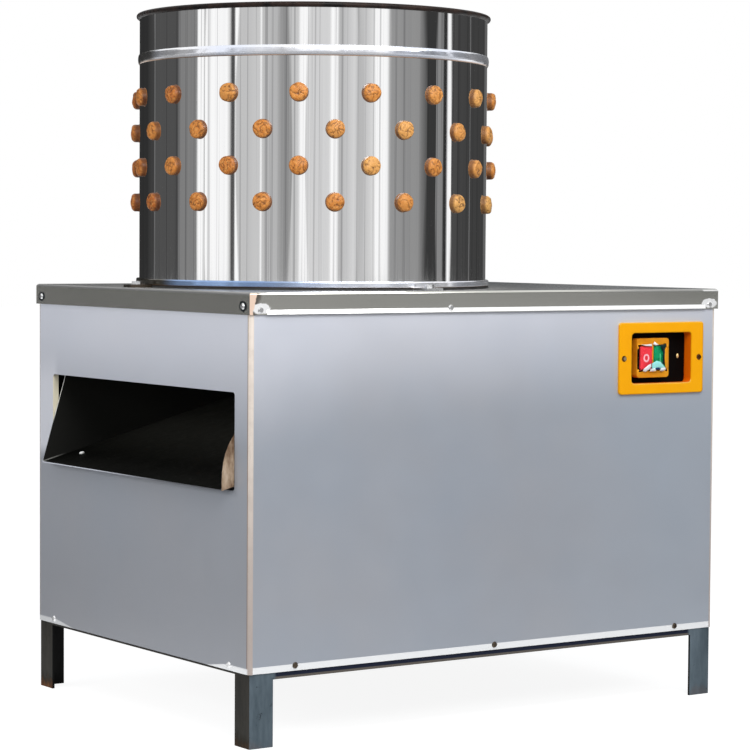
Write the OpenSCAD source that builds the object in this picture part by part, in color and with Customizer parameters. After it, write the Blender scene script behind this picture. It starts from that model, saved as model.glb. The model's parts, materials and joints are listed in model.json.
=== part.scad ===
// Poultry plucker with a sheet-clad cabinet on angle-iron legs, an off-centre finger drum on its cover,
// a turning feather plate driven by belts and a feather chute through the left side.
// Millimetres, Z up, X to the right seen from the front, Y to the rear, floor at Z = 0.

/* [Cabinet] */
// Width over the side panels
cabinet_w = 880; // [840:1:960]
// Depth over the front and rear panels
cabinet_d = 650; // [640:1:720]
// Height of the top face of the cover
cover_top = 655; // [640:1:700]
// Height of the lower edge of the panels
panel_bottom = 108; // [95:1:120]
// Thickness of the panel sheet
sheet_t = 1.5; // [1:0.1:2]
// Outside radius of the folded vertical corners
corner_r = 6.5; // [4:0.5:8]
// Width of the doubled hems behind the panel edges
hem_w = 16; // [12:1:24]
// Height of the tapered strip at the foot of the front and rear panels
taper_h = 10; // [6:0.5:14]
// How far the cover stands out past the panels
cover_overhang = 2.5; // [2.2:0.1:4]
// Depth of the folded skirt of the cover
cover_skirt = 32; // [26:1:40]
// Outside radius of the folded edges of the cover
cover_bend_r = 4; // [3:0.5:6]

/* [Frame] */
// Leg width of the angle iron
angle_size = 40; // [36:1:42]
// Thickness of the angle iron
angle_t = 4; // [3:0.5:5]
// How far the front and rear bottom rails show under the panels
rail_show = 10; // [6:1:16]
// How far the left and right bottom rails show under the panels
side_rail_show = 4; // [2:1:16]
// Height of the top face of the middle rails
mid_rail_top = 246; // [236:1:256]

/* [Drum] */
// Distance of the drum shell from the left side of the cabinet
drum_offset = 44; // [40:1:54]
// Outside diameter of the drum shell
drum_d = 548; // [530:1:552]
// Wall of the drum shell
drum_wall = 1.2; // [0.8:0.1:2]
// Height of the drum from its base to the top of the rim
drum_h = 423; // [400:1:460]
// Thickness of the rubber joint under the drum
gasket_t = 3; // [2:0.5:5]
// Height of the base ring
ring_h = 10; // [8:0.5:14]
// How far the base ring stands out of the shell
ring_proud = 5; // [4:0.5:7]
// Distance of the hoop's middle below the top of the rim
hoop_drop = 71; // [50:1:90]
// Height of the hoop
hoop_h = 16; // [10:1:20]
// How far the hoop stands out of the shell
hoop_proud = 2.5; // [2:0.5:6]
// Thickness of the rolled rim
rim_d = 8; // [7:0.5:12]
// How far the rim stands out of the shell
rim_proud = 5; // [4.5:0.1:6]
// Radial length of a drum clamp
clamp_len = 34; // [30:1:36]
// Width of a drum clamp
clamp_w = 30; // [24:1:40]
// Thickness of a drum clamp
clamp_t = 4; // [3:0.5:6]
// Angles of the right, rear, left and front clamps from the cabinet axes
clamp_phase = [0, 0, -8.5, 2]; // [-10:0.5:10]

/* [Fingers] */
// Fingers in each row of the drum wall
fingers_per_row = 16; // [12:1:18]
// Height of the lowest row above the drum base
row_start = 128; // [124:1:140]
// Height between rows
row_pitch = 54; // [48:1:58]
// Angle of the first finger in the even rows
finger_phase = 7.3; // [0:0.1:22]
// Diameter of a finger head
head_d = 29; // [24:0.5:31]
// Thickness of a finger head
head_h = 14; // [8:0.5:16]
// Diameter of the neck that sits in the hole
neck_d = 18; // [14:0.5:20]
// Length of a finger past the wall
finger_len = 76; // [60:1:80]
// Diameter of a finger at its root
root_d = 24; // [22:0.5:26]
// Diameter of a finger at its tip
tip_d = 17; // [14:0.5:20]
// Ribs along a finger
rib_count = 8; // [5:1:10]
// Depth of the grooves between the ribs
rib_depth = 1.2; // [0.6:0.1:1.8]

/* [Feather plate] */
// Diameter of the plate
plate_d = 504; // [480:1:510]
// Thickness of the plate
plate_t = 6; // [4:0.5:8]
// Height of the underside of the plate above the drum base
plate_lift = 17; // [14:0.5:22]
// Radius of the outer ring of plate fingers
outer_ring_r = 212; // [200:1:225]
// Fingers in the outer ring
outer_ring_n = 12; // [8:1:16]
// Radius of the inner ring of plate fingers
inner_ring_r = 140; // [120:1:160]
// Fingers in the inner ring
inner_ring_n = 8; // [5:1:10]

/* [Shaft and bearings] */
// Diameter of the drive shaft
shaft_d = 30; // [26:1:34]
// Diameter of the threaded top of the drive shaft
shaft_stud_d = 20; // [16:1:22]
// Outside diameter of the ball bearings
bearing_od = 62; // [58:1:68]
// Width of the ball bearings
bearing_w = 16; // [14:1:20]
// Outside diameter of the bearing housing
housing_od = 80; // [76:1:90]
// Outside diameter of the plate hub
hub_d = 60; // [50:1:70]
// Length of the plate hub
hub_len = 50; // [40:1:60]
// Diameter of the hub flange
hub_flange_d = 130; // [120:1:150]
// Thickness of the hub flange and of the housing flange
hub_flange_t = 12; // [8:1:16]

/* [Drive] */
// Depth of the belt plane below the middle rails
belt_drop = 42; // [38:1:50]
// Diameter of the driven pulley
driven_d = 300; // [260:1:320]
// Diameter of the motor pulley
motor_pulley_d = 65; // [60:1:90]
// Width of a belt at its outer face
belt_w = 13; // [11:0.5:14]
// Thickness of a belt
belt_h = 8; // [7:0.5:9]
// Distance between the two belts
belt_pitch = 16; // [15.5:0.5:18]
// Distance of the motor axis from the right side of the cabinet
motor_offset = 140; // [135:1:150]
// Diameter of the motor body between its fins
motor_d = 150; // [130:1:156]
// Height of the motor body
motor_h = 200; // [160:1:220]
// Diameter of the motor flange
motor_flange_d = 200; // [190:1:206]
// Diameter of the motor shaft
motor_shaft_d = 24; // [19:1:28]
// Thickness of the motor plate
motor_plate_t = 10; // [8:1:14]
// Travel of the motor in its slots when the belts are tightened
belt_take_up = 16; // [8:1:20]

/* [Feather chute] */
// Width of the outlet in the left panel
outlet_w = 558; // [540:1:564]
// Height of the outlet in the left panel
outlet_h = 142; // [120:1:170]
// Height of the lower edge of the outlet
outlet_bottom = 369; // [350:1:390]
// Radius of the outlet's corners
outlet_corner = 5; // [2:0.5:5]
// Distance of the chute from the front leg
outlet_shift = 0.5; // [0.5:0.5:6]
// How far the lip of the chute stands out of the panel
lip_out = 20; // [10:1:40]
// Height at which the bowed edge of the near cheek goes inside the panel
cheek_rise = 78; // [60:1:100]
// How far the mouth leans inwards over the height of the outlet
mouth_lean = 42; // [20:1:50]
// Slope of the chute floor in degrees
chute_slope = 15; // [12:0.5:18]

/* [Switch] */
// Distance of the middle of the switch from the right side of the cabinet
switch_x = 116; // [110:1:140]
// Height of the middle of the switch
switch_z = 546.5; // [500:0.5:560]
// Width of the yellow flange
flange_w = 173; // [165:1:180]
// Height of the yellow flange
flange_h = 113; // [108:1:120]
// Thickness of the yellow flange
flange_t = 4; // [3:0.5:6]
// Width of the recess
recess_w = 124; // [115:1:125]
// Height of the recess
recess_h = 80; // [74:1:82]
// Depth of the recess behind the face of the flange
recess_depth = 18; // [16:1:26]
// Wall of the switch box
box_wall = 2; // [1.5:0.1:3]
// Width of the switch body
switch_w = 66; // [64:1:72]
// Height of the switch body
switch_h = 62; // [60:1:68]
// How far the switch body stands out of the back plate
switch_depth = 12; // [11:0.5:14]
// Width of a button
button_w = 26; // [24:0.5:29]
// Height of a button
button_h = 38; // [34:0.5:44]
// Travel of a button
button_travel = 4; // [2:0.5:5]

/* [Fasteners and clearances] */
// Shank diameter of the sheet screws
screw_d = 4.8; // [4:0.2:5.2]
// Head diameter of the sheet screws
screw_head_d = 9.5; // [8:0.5:11]
// Head height of the sheet screws
screw_head_h = 2.2; // [1.6:0.1:3]
// Thread diameter of the hexagon bolts
bolt_d = 8; // [6:1:10]
// Radial clearance of seated fits and of screws in their holes
fit = 0.05; // [0.02:0.01:0.1]
// Clearance of a rubber finger in its hole
finger_gap = 0.3; // [0.2:0.05:0.5]
// Gap between pieces that run past each other
run_gap = 0.3; // [0.25:0.05:0.5]

/* [Hidden] */
$fn = 96;
// How far a cutting tool runs past the face that it cuts
cut = 1;
// Segments of a folded edge
bend_n = 6;

// Frame planes: the doubled hems of the panels lie on the outer faces of the frame
frame_x = cabinet_w / 2 - 2 * sheet_t;
frame_y = cabinet_d / 2 - 2 * sheet_t;
rail_len_x = 2 * (frame_x - angle_size);
rail_len_y = 2 * (frame_y - angle_size);
cover_under = cover_top - sheet_t;
panel_top = cover_under - cover_bend_r;
panel_h = panel_top - panel_bottom;
top_hem_w = cover_skirt;
rail_bottom = panel_bottom - rail_show;
side_rail_bottom = panel_bottom - side_rail_show;
beam_top = mid_rail_top + angle_size;

// Drum and feather plate
drum_r = drum_d / 2;
drum_x = drum_offset + drum_r - cabinet_w / 2;
drum_in_r = drum_r - drum_wall;
drum_base = cover_top + gasket_t;
rim_top = drum_base + drum_h;
shell_h = drum_h - rim_d / 2;
// The hole in the cover leaves a ledge for the gasket
gasket_ledge = 5;
throat_r = drum_in_r - gasket_ledge;
plate_bottom = drum_base + plate_lift;
plate_top = plate_bottom + plate_t;
hub_bottom = plate_bottom - hub_len;
// The right clamp stands on the cover alone, the others over the middle of a top rail
clamp_end = (clamp_len - clamp_t) / 2;
clamp_reach = [drum_r + ring_proud + clamp_t + clamp_end, frame_y - angle_size / 2,
  frame_x - angle_size / 2 + drum_x, frame_y - angle_size / 2];
clamp_bolt_r = [for (i = [0:3]) clamp_reach[i] / cos(clamp_phase[i])];
// What each clamp bolt holds: cover alone, cover with rail and chute, or cover with rail
clamp_grip_plain = clamp_t + sheet_t;
clamp_grip_rail = clamp_grip_plain + angle_t;
clamp_grip_chute = clamp_grip_rail + sheet_t;
clamp_grips = [clamp_grip_plain, clamp_grip_chute, clamp_grip_rail, clamp_grip_chute];

// Finger seat: the flat shoulder inside the curved wall needs the sag of the wall
seat_sag = drum_in_r - sqrt(pow(drum_in_r, 2) - pow(root_d / 2, 2));
wall_grip = drum_wall + 2 * finger_gap + seat_sag;
plate_grip = plate_t + 2 * finger_gap;
finger_hole_d = neck_d + 2 * finger_gap;
head_edge_r = 4;
row_stagger = 180 / fingers_per_row;

// Shaft, slinger and bearings
slinger_t = 4;
slinger_gap = 2;
slinger_skirt = 12;
slinger_d = housing_od + 2 * (slinger_gap + slinger_t);
housing_top = hub_bottom - slinger_t - slinger_gap;
housing_flange_w = 180;
housing_flange_d = 150;
housing_drop = 30;
housing_bottom = beam_top - housing_drop;
housing_lip = 3;
housing_shoulder = 4;
bearing_inner_wall = 6;
bearing_inner_od = shaft_d + 2 * bearing_inner_wall;
lower_bearing_z = housing_bottom + housing_lip;
upper_bearing_z = housing_top - housing_lip - bearing_w;
beam_x = 65;
housing_bolt_y = 50;
hub_bolt_inset = 16;
hub_bolt_r = hub_flange_d / 2 - hub_bolt_inset;
plate_bolt_n = 4;

// Belt drive: the driven pulley is on the drum axis, the motor pulley on the motor axis
motor_x = cabinet_w / 2 - motor_offset;
belt_z = mid_rail_top - belt_drop;
pulley_flange = 4;
pulley_w = belt_pitch + belt_w + 2 * pulley_flange;
driven_r = driven_d / 2;
motor_pulley_r = motor_pulley_d / 2;
belt_span = motor_x - drum_x;
belt_wrap = acos((driven_r - motor_pulley_r) / belt_span);
belt_flank = 18;
belt_arc_n = 48;
belt_in_w = belt_w - 2 * belt_h * tan(belt_flank);
groove_relief = 2;
groove_gap = run_gap / cos(belt_flank);
belt_offsets = [-belt_pitch / 2, belt_pitch / 2];
pulley_boss_d = 70;
pulley_web_t = 12;
pulley_rim_t = 12;
pulley_hole_n = 5;
shaft_end = 6;
shaft_bottom = belt_z - pulley_w / 2 - shaft_end;

// Motor, standing on its flange with the shaft pointing down
motor_plate_margin = 15;
motor_plate_w = motor_flange_d + 2 * motor_plate_margin;
motor_plate_top = mid_rail_top + motor_plate_t;
spigot_d = 0.65 * motor_flange_d;
spigot_h = 4;
motor_flange_t = 14;
motor_bolt_r = 0.4125 * motor_flange_d;
motor_base = motor_plate_top + motor_flange_t;
motor_top = motor_base + motor_h;
fin_n = 24;
fin_h = 8;
fin_t = 3;
fan_cover_h = 60;
fan_cover_t = 1.5;
fan_hub_wall = 10;
fan_hub_d = motor_shaft_d + 2 * fan_hub_wall;
fan_d = motor_d - 2 * fin_h;
fan_blade_n = 6;
fan_lift = 8;
fan_h = 30;
fan_disc_t = 4;
terminal_w = 90;
terminal_h = 80;
terminal_d = 45;

// Feather chute: a side profile in X and Z, carried between its two cheeks
chute_gap = 2.5;
outlet_y0 = -frame_y + angle_size + outlet_shift - chute_gap;
outlet_y1 = outlet_y0 + outlet_w;
chute_y0 = outlet_y0 + chute_gap;
chute_y1 = outlet_y1 - chute_gap;
lip_x = -cabinet_w / 2 - lip_out;
lip_z = outlet_bottom + chute_gap;
chute_back_gap = 20;
chute_back_x = drum_x + throat_r + chute_back_gap;
chute_top = cover_under - angle_t;
chute_floor_t = sheet_t / cos(chute_slope);
chute_mouth_x = lip_x + mouth_lean * (chute_top - lip_z) / outlet_h;
chute_flange_gap = 4;
chute_flange_y = frame_y - angle_t - chute_flange_gap;
chute_screw_y = frame_y - angle_size / 2;
chute_screw_reach = 0.75 * throat_r;
chute_screws_x = [drum_x - chute_screw_reach, drum_x + chute_screw_reach];
outlet_fold = 10;
// The front edge of the near cheek rises from the lip and bows inwards
cheek_bow = [for (i = [0:bend_n])
  let (s = i / bend_n) [lip_x + lip_out * pow(s, 3), lip_z + cheek_rise * s]];
far_edge = [[lip_x, lip_z]];
function chute_floor(x) = lip_z + (x - lip_x) * tan(chute_slope);

// Switch
switch_face = -cabinet_d / 2 - flange_t;
switch_back = switch_face + recess_depth;
back_plate_t = 3;
switch_mid_x = cabinet_w / 2 - switch_x;
switch_body_shift = -13.5;
switch_body_x = switch_mid_x + switch_body_shift;
button_gap = 0.4;
button_bridge = 2;
button_depth = 7;
button_proud = 1;
button_edge = 2;
flange_corner = 5;
recess_corner = 6;
flange_screw_inset = 9;
flange_screw_x = flange_w / 2 - flange_screw_inset;

// Cable gland in the right panel
gland_y = 200;
gland_z = 190;
gland_thread_d = 20;
gland_hex = 27;
gland_hex_t = 8;
gland_cap_d = 22;
gland_cap_h = 12;
gland_bore_d = 9;
gland_nut_t = 6;
gland_out = gland_hex_t + gland_cap_h;
gland_in = 2 * sheet_t + gland_nut_t;

// Screw positions
cover_screw_z = cover_top - 0.62 * cover_skirt;
cover_screw_inset = 16;
cover_screw_mid = -89;
// The folded lip at the foot of the front and rear skirts runs between the corner screws, which stand level
// with its upper edge
cover_lip_h = 7;
cover_lip_out = screw_head_h;
cover_lip_x = cabinet_w / 2 - cover_screw_inset - screw_head_d;
cover_lip_notch = 0.6;
cover_end_screw_z = cover_top - cover_skirt + cover_lip_h;
cover_screws_x = [-cabinet_w / 2 + cover_screw_inset, cover_screw_mid, cabinet_w / 2 - cover_screw_inset];
cover_screws_y = [-cabinet_d / 2 + cover_screw_inset, cabinet_d / 2 - cover_screw_inset];
panel_screw_lift = 8;
panel_screw_z = panel_bottom + panel_screw_lift;
panel_screw_inset = 36;
panel_screws_x = [-rail_len_x / 2 + panel_screw_inset, 0, rail_len_x / 2 - panel_screw_inset];
panel_screws_y = [-rail_len_y / 2 + panel_screw_inset / 3, rail_len_y / 2 - panel_screw_inset / 3];
cover_screw_grip = cover_overhang + 2 * sheet_t;
panel_screw_grip = 2 * sheet_t + angle_t;

// Hexagon bolts: head and nut sizes follow the thread
hex_head_h = 0.65 * bolt_d;
hex_nut_h = 0.8 * bolt_d;
hex_across = 1.9 * bolt_d;
bolt_end = 3;

// The origin is under the middle of the whole machine
x_low = -cabinet_w / 2 - max(lip_out, cover_overhang + screw_head_h);
x_high = cabinet_w / 2 + max(gland_out, cover_overhang + screw_head_h);
y_low = -cabinet_d / 2 - max(flange_t, cover_overhang) - screw_head_h;
y_high = cabinet_d / 2 + cover_overhang + screw_head_h;
origin_x = (x_low + x_high) / 2;
origin_y = (y_low + y_high) / 2;

function arc(cx, cy, r, a0, a1, n) =
  [for (i = [0:n]) [cx + r * cos(a0 + (a1 - a0) * i / n), cy + r * sin(a0 + (a1 - a0) * i / n)]];

function rounded(w, h, r) = concat(
  arc(w / 2 - r, h / 2 - r, r, 0, 90, bend_n),
  arc(-w / 2 + r, h / 2 - r, r, 90, 180, bend_n),
  arc(-w / 2 + r, -h / 2 + r, r, 180, 270, bend_n),
  arc(w / 2 - r, -h / 2 + r, r, 270, 360, bend_n));

// Moves a piece from the cabinet's middle to the machine's origin
module place() {
  translate([-origin_x, -origin_y, 0]) children();
}

module at_drum() {
  place() translate([drum_x, 0, 0]) children();
}

module at_motor() {
  place() translate([motor_x, 0, 0]) children();
}

// A profile drawn in X and Z, carried along Y from y0 to y1
module along_y(y0, y1) {
  translate([0, y1, 0]) rotate([90, 0, 0]) linear_extrude(y1 - y0) children();
}

// A profile drawn in Y and Z, carried along X from x0 to x1
module along_x(x0, x1) {
  translate([x0, 0, 0]) rotate([90, 0, 90]) linear_extrude(x1 - x0) children();
}

module angle_profile() {
  polygon([[0, 0], [angle_size, 0], [angle_size, angle_t], [angle_t, angle_t], [angle_t, angle_size],
    [0, angle_size]]);
}

// Screw axes point out of the face, so that the head stands at positive Z
module cover_screw_axes() {
  for (side = [-1, 1]) {
    for (x = cover_screws_x)
      translate([side < 0 ? x : -x, side * (cabinet_d / 2 + cover_overhang), cover_end_screw_z])
        rotate([-side * 90, 0, 0]) children();
    for (y = cover_screws_y)
      translate([side * (cabinet_w / 2 + cover_overhang), y, cover_screw_z])
        rotate([0, side * 90, 0]) children();
  }
}

module panel_screw_axes() {
  for (side = [-1, 1]) {
    for (x = panel_screws_x)
      translate([x, side * cabinet_d / 2, panel_screw_z]) rotate([-side * 90, 0, 0]) children();
    for (y = panel_screws_y)
      translate([side * cabinet_w / 2, y, panel_screw_z]) rotate([0, side * 90, 0]) children();
  }
}

module chute_screw_axes() {
  for (side = [-1, 1])
    for (x = chute_screws_x)
      translate([x, side * chute_screw_y, chute_top - sheet_t]) rotate([180, 0, 0]) children();
}

module flange_screw_axes() {
  for (side = [-1, 1])
    translate([switch_mid_x + side * flange_screw_x, switch_face, switch_z]) rotate([90, 0, 0]) children();
}

module screw_hole(depth) {
  translate([0, 0, -depth - cut]) cylinder(d = screw_d + 2 * fit, h = depth + 2 * cut);
}

module sheet_screw(grip) {
  translate([0, 0, -grip]) cylinder(d = screw_d, h = grip + screw_head_h / 2);
  cylinder(d1 = screw_head_d, d2 = 0.7 * screw_head_d, h = screw_head_h);
}

// A bolt whose head stands on Z = 0 and whose nut closes the grip from below
module hex_bolt(grip) {
  cylinder(d = hex_across, h = hex_head_h, $fn = 6);
  translate([0, 0, -grip - hex_nut_h - bolt_end]) cylinder(d = bolt_d, h = grip + hex_nut_h + bolt_end + fit);
  translate([0, 0, -grip - hex_nut_h])
    difference() {
      cylinder(d = hex_across, h = hex_nut_h, $fn = 6);
      translate([0, 0, -cut]) cylinder(d = bolt_d + 2 * fit, h = hex_nut_h + 2 * cut);
    }
}

module bolt_hole(depth) {
  translate([0, 0, -depth - cut]) cylinder(d = bolt_d + 4 * fit, h = depth + 2 * cut);
}

module at_clamp_bolt(i) {
  rotate([0, 0, clamp_phase[i] + i * 90]) translate([clamp_bolt_r[i], 0, cover_top + clamp_t]) children();
}

module clamp_bolt_holes() {
  for (i = [0:3])
    translate([drum_x, 0, 0]) at_clamp_bolt(i) bolt_hole(clamp_grip_chute);
}

module housing_bolt_axes() {
  for (sx = [-1, 1])
    for (sy = [-1, 1])
      translate([sx * beam_x, sy * housing_bolt_y, beam_top + hub_flange_t]) children();
}

module motor_bolt_axes() {
  for (i = [0:3])
    rotate([0, 0, 45 + i * 90]) translate([motor_bolt_r, 0, motor_plate_top + motor_flange_t]) children();
}

// Frame

module leg(side_x, side_y) {
  color("dimgray") place()
    translate([side_x * frame_x, side_y * frame_y, 0])
      mirror([side_x > 0 ? 1 : 0, 0, 0]) mirror([0, side_y > 0 ? 1 : 0, 0])
        linear_extrude(cover_under) angle_profile();
}

module leg_front_left() { leg(-1, -1); }
module leg_front_right() { leg(1, -1); }
module leg_rear_left() { leg(-1, 1); }
module leg_rear_right() { leg(1, 1); }

// A rail along X; the flat flange is at its foot, or at its top when it is turned over
module rail_x(side, z, turned) {
  translate([0, side * frame_y, z]) mirror([0, side > 0 ? 1 : 0, 0]) mirror([0, 0, turned ? 1 : 0])
    along_x(-rail_len_x / 2, rail_len_x / 2) angle_profile();
}

module rail_y(side, z, turned) {
  translate([side * frame_x, 0, z]) mirror([side > 0 ? 1 : 0, 0, 0]) mirror([0, 0, turned ? 1 : 0])
    along_y(-rail_len_y / 2, rail_len_y / 2) angle_profile();
}

module bottom_rail_x(side) {
  color("dimgray") place()
    difference() {
      rail_x(side, rail_bottom, false);
      panel_screw_axes() screw_hole(panel_screw_grip);
    }
}

module bottom_rail_y(side) {
  color("dimgray") place()
    difference() {
      rail_y(side, side_rail_bottom, false);
      panel_screw_axes() screw_hole(panel_screw_grip);
    }
}

module bottom_rail_front() { bottom_rail_x(-1); }
module bottom_rail_rear() { bottom_rail_x(1); }
module bottom_rail_left() { bottom_rail_y(-1); }
module bottom_rail_right() { bottom_rail_y(1); }

module top_rail_x(side) {
  color("dimgray") place()
    difference() {
      rail_x(side, cover_under, true);
      chute_screw_axes() screw_hole(sheet_t + angle_t);
      clamp_bolt_holes();
    }
}

module top_rail_y(side) {
  color("dimgray") place()
    difference() {
      rail_y(side, cover_under, true);
      clamp_bolt_holes();
    }
}

module top_rail_front() { top_rail_x(-1); }
module top_rail_rear() { top_rail_x(1); }
module top_rail_left() { top_rail_y(-1); }
module top_rail_right() { top_rail_y(1); }
module mid_rail_front() { color("dimgray") place() rail_x(-1, mid_rail_top, true); }
module mid_rail_rear() { color("dimgray") place() rail_x(1, mid_rail_top, true); }

// A cross beam on the middle rails, with its flat flange on top under the bearing housing
module bearing_beam(side) {
  color("dimgray") at_drum()
    difference() {
      translate([side * (beam_x + angle_size / 2), 0, beam_top])
        mirror([side > 0 ? 1 : 0, 0, 0]) mirror([0, 0, 1])
          along_y(-frame_y + angle_t, frame_y - angle_t) angle_profile();
      housing_bolt_axes() bolt_hole(hub_flange_t + angle_t);
    }
}

module bearing_beam_left() { bearing_beam(-1); }
module bearing_beam_right() { bearing_beam(1); }

module motor_plate() {
  color("slategray") at_motor()
    difference() {
      translate([-motor_plate_w / 2, -frame_y + angle_t, mid_rail_top])
        cube([motor_plate_w, 2 * (frame_y - angle_t), motor_plate_t]);
      for (dx = [-belt_take_up / 2, belt_take_up / 2])
        translate([dx, 0, mid_rail_top - cut]) cylinder(d = spigot_d + 2 * fit, h = motor_plate_t + 2 * cut);
      translate([-belt_take_up / 2, -spigot_d / 2 - fit, mid_rail_top - cut])
        cube([belt_take_up, spigot_d + 2 * fit, motor_plate_t + 2 * cut]);
      motor_bolt_axes_square() take_up_slot();
    }
}

module motor_bolt_axes_square() {
  for (sx = [-1, 1])
    for (sy = [-1, 1])
      translate([sx * motor_bolt_r * sin(45), sy * motor_bolt_r * sin(45), mid_rail_top - cut]) children();
}

module take_up_slot() {
  slot_d = bolt_d + 4 * fit;
  for (dx = [-belt_take_up / 2, belt_take_up / 2])
    translate([dx, 0, 0]) cylinder(d = slot_d, h = motor_plate_t + 2 * cut);
  translate([-belt_take_up / 2, -slot_d / 2, 0]) cube([belt_take_up, slot_d, motor_plate_t + 2 * cut]);
}

// Panels

// Front view frame of a front or rear panel: X along the panel, Y inwards from its face, Z up
module end_panel_skin() {
  w = cabinet_w;
  r = corner_r;
  t = sheet_t;
  outline = concat(arc(-w / 2 + r, r, r, 180, 270, bend_n), arc(w / 2 - r, r, r, 270, 360, bend_n),
    arc(w / 2 - r, r, r - t, 360, 270, bend_n), arc(-w / 2 + r, r, r - t, 270, 180, bend_n));
  difference() {
    translate([0, 0, panel_bottom]) linear_extrude(panel_h) polygon(outline);
    translate([-w / 2 + r, -cut, panel_bottom - cut]) cube([w - 2 * r, r + cut, taper_h + cut]);
  }
}

module end_panel_hems() {
  w = cabinet_w - 2 * corner_r;
  t = sheet_t;
  for (side = [0, 1])
    translate([-w / 2 + side * (w - hem_w), t - fit, panel_bottom]) cube([hem_w, t + fit, panel_h]);
  translate([-w / 2, t - fit, panel_top - top_hem_w]) cube([w, t + fit, top_hem_w]);
  along_x(-w / 2, w / 2)
    translate([0, panel_bottom])
      polygon([[0, taper_h], [t, 0], [2 * t, 0], [2 * t, hem_w], [t - fit, hem_w], [0, hem_w]]);
}

module end_panel(side) {
  difference() {
    mirror([0, side > 0 ? 1 : 0, 0]) translate([0, -cabinet_d / 2, 0]) {
      end_panel_skin();
      end_panel_hems();
    }
    cover_screw_axes() screw_hole(cover_screw_grip);
    panel_screw_axes() screw_hole(panel_screw_grip);
  }
}

module front_panel() {
  color("lightsteelblue") place()
    difference() {
      end_panel(-1);
      translate([switch_mid_x, 0, switch_z])
        along_y(-cabinet_d / 2 - cut, -cabinet_d / 2 + 2 * sheet_t + cut)
          square([recess_w + 2 * box_wall + cut, recess_h + 2 * box_wall + cut], center = true);
      flange_screw_axes() screw_hole(flange_t + 2 * sheet_t);
    }
}

module rear_panel() {
  color("lightsteelblue") place() end_panel(1);
}

// A side panel butts against the folded corners of the end panels
module side_panel(side) {
  d = cabinet_d - 2 * corner_r - 2 * fit;
  t = sheet_t;
  difference() {
    mirror([side > 0 ? 1 : 0, 0, 0]) translate([-cabinet_w / 2, 0, panel_bottom]) {
      translate([0, -d / 2, 0]) cube([t, d, panel_h]);
      for (sy = [0, 1])
        translate([t - fit, -d / 2 + sy * (d - hem_w), 0]) cube([t + fit, hem_w, panel_h]);
      translate([t - fit, -d / 2, panel_h - top_hem_w]) cube([t + fit, d, top_hem_w]);
      translate([t - fit, -d / 2, 0]) cube([t + fit, d, hem_w]);
    }
    cover_screw_axes() screw_hole(cover_screw_grip);
    panel_screw_axes() screw_hole(panel_screw_grip);
  }
}

module left_panel() {
  color("lightsteelblue") place() {
    difference() {
      side_panel(-1);
      along_x(-cabinet_w / 2 - cut, -cabinet_w / 2 + 2 * sheet_t + cut)
        translate([outlet_y0 + outlet_w / 2, outlet_bottom + outlet_h / 2])
          polygon(rounded(outlet_w, outlet_h, outlet_corner));
    }
    translate([-cabinet_w / 2 + sheet_t - fit, outlet_y1, outlet_bottom])
      cube([outlet_fold - sheet_t, sheet_t, outlet_h]);
  }
}

module right_panel() {
  color("lightsteelblue") place()
    difference() {
      side_panel(1);
      translate([cabinet_w / 2 + cut, gland_y, gland_z]) rotate([0, -90, 0])
        cylinder(d = gland_thread_d + 2 * fit, h = sheet_t + 2 * cut);
    }
}

// A closed block with folded top edges
module cover_block(w, d, top, h, r) {
  intersection() {
    along_y(-d / 2, d / 2)
      polygon(concat([[-w / 2, top - h]], arc(-w / 2 + r, top - r, r, 180, 90, bend_n),
        arc(w / 2 - r, top - r, r, 90, 0, bend_n), [[w / 2, top - h]]));
    along_x(-w / 2, w / 2)
      polygon(concat([[-d / 2, top - h]], arc(-d / 2 + r, top - r, r, 180, 90, bend_n),
        arc(d / 2 - r, top - r, r, 90, 0, bend_n), [[d / 2, top - h]]));
  }
}

// The foot of a skirt is folded up against its face and notched round the screw heads
module cover_lip(d) {
  foot = cover_top - cover_skirt;
  along_x(-cover_lip_x, cover_lip_x)
    translate([-d / 2, foot])
      polygon([[sheet_t, 0], [-cover_lip_out, 0], [-cover_lip_out, sheet_t / 2], [0, cover_lip_h],
        [sheet_t, cover_lip_h]]);
}

module top_cover() {
  w = cabinet_w + 2 * cover_overhang;
  d = cabinet_d + 2 * cover_overhang;
  t = sheet_t;
  color("gray") place()
    difference() {
      union() {
        cover_block(w, d, cover_top, cover_skirt, cover_bend_r);
        difference() {
          for (turn = [0, 180])
            rotate([0, 0, turn]) cover_lip(d);
          cover_screw_axes() cylinder(d = screw_head_d + 2 * cover_lip_notch, h = cover_lip_out + cut);
        }
      }
      cover_block(w - 2 * t, d - 2 * t, cover_under, cover_skirt, cover_bend_r - t);
      translate([drum_x, 0, cover_under - cut]) cylinder(r = throat_r, h = t + 2 * cut);
      clamp_bolt_holes();
      cover_screw_axes() screw_hole(cover_screw_grip);
    }
}

module sheet_screws() {
  color("silver") place() {
    cover_screw_axes() sheet_screw(cover_screw_grip);
    panel_screw_axes() sheet_screw(panel_screw_grip);
    chute_screw_axes() sheet_screw(sheet_t + angle_t);
    flange_screw_axes() sheet_screw(flange_t + sheet_t);
  }
}

module hex_bolts() {
  color("silver") {
    for (i = [0:3])
      at_drum() at_clamp_bolt(i) hex_bolt(clamp_grips[i]);
    at_drum() housing_bolt_axes() hex_bolt(hub_flange_t + angle_t);
    at_motor() motor_bolt_axes() hex_bolt(motor_flange_t + motor_plate_t);
  }
}

// Feather chute

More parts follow.
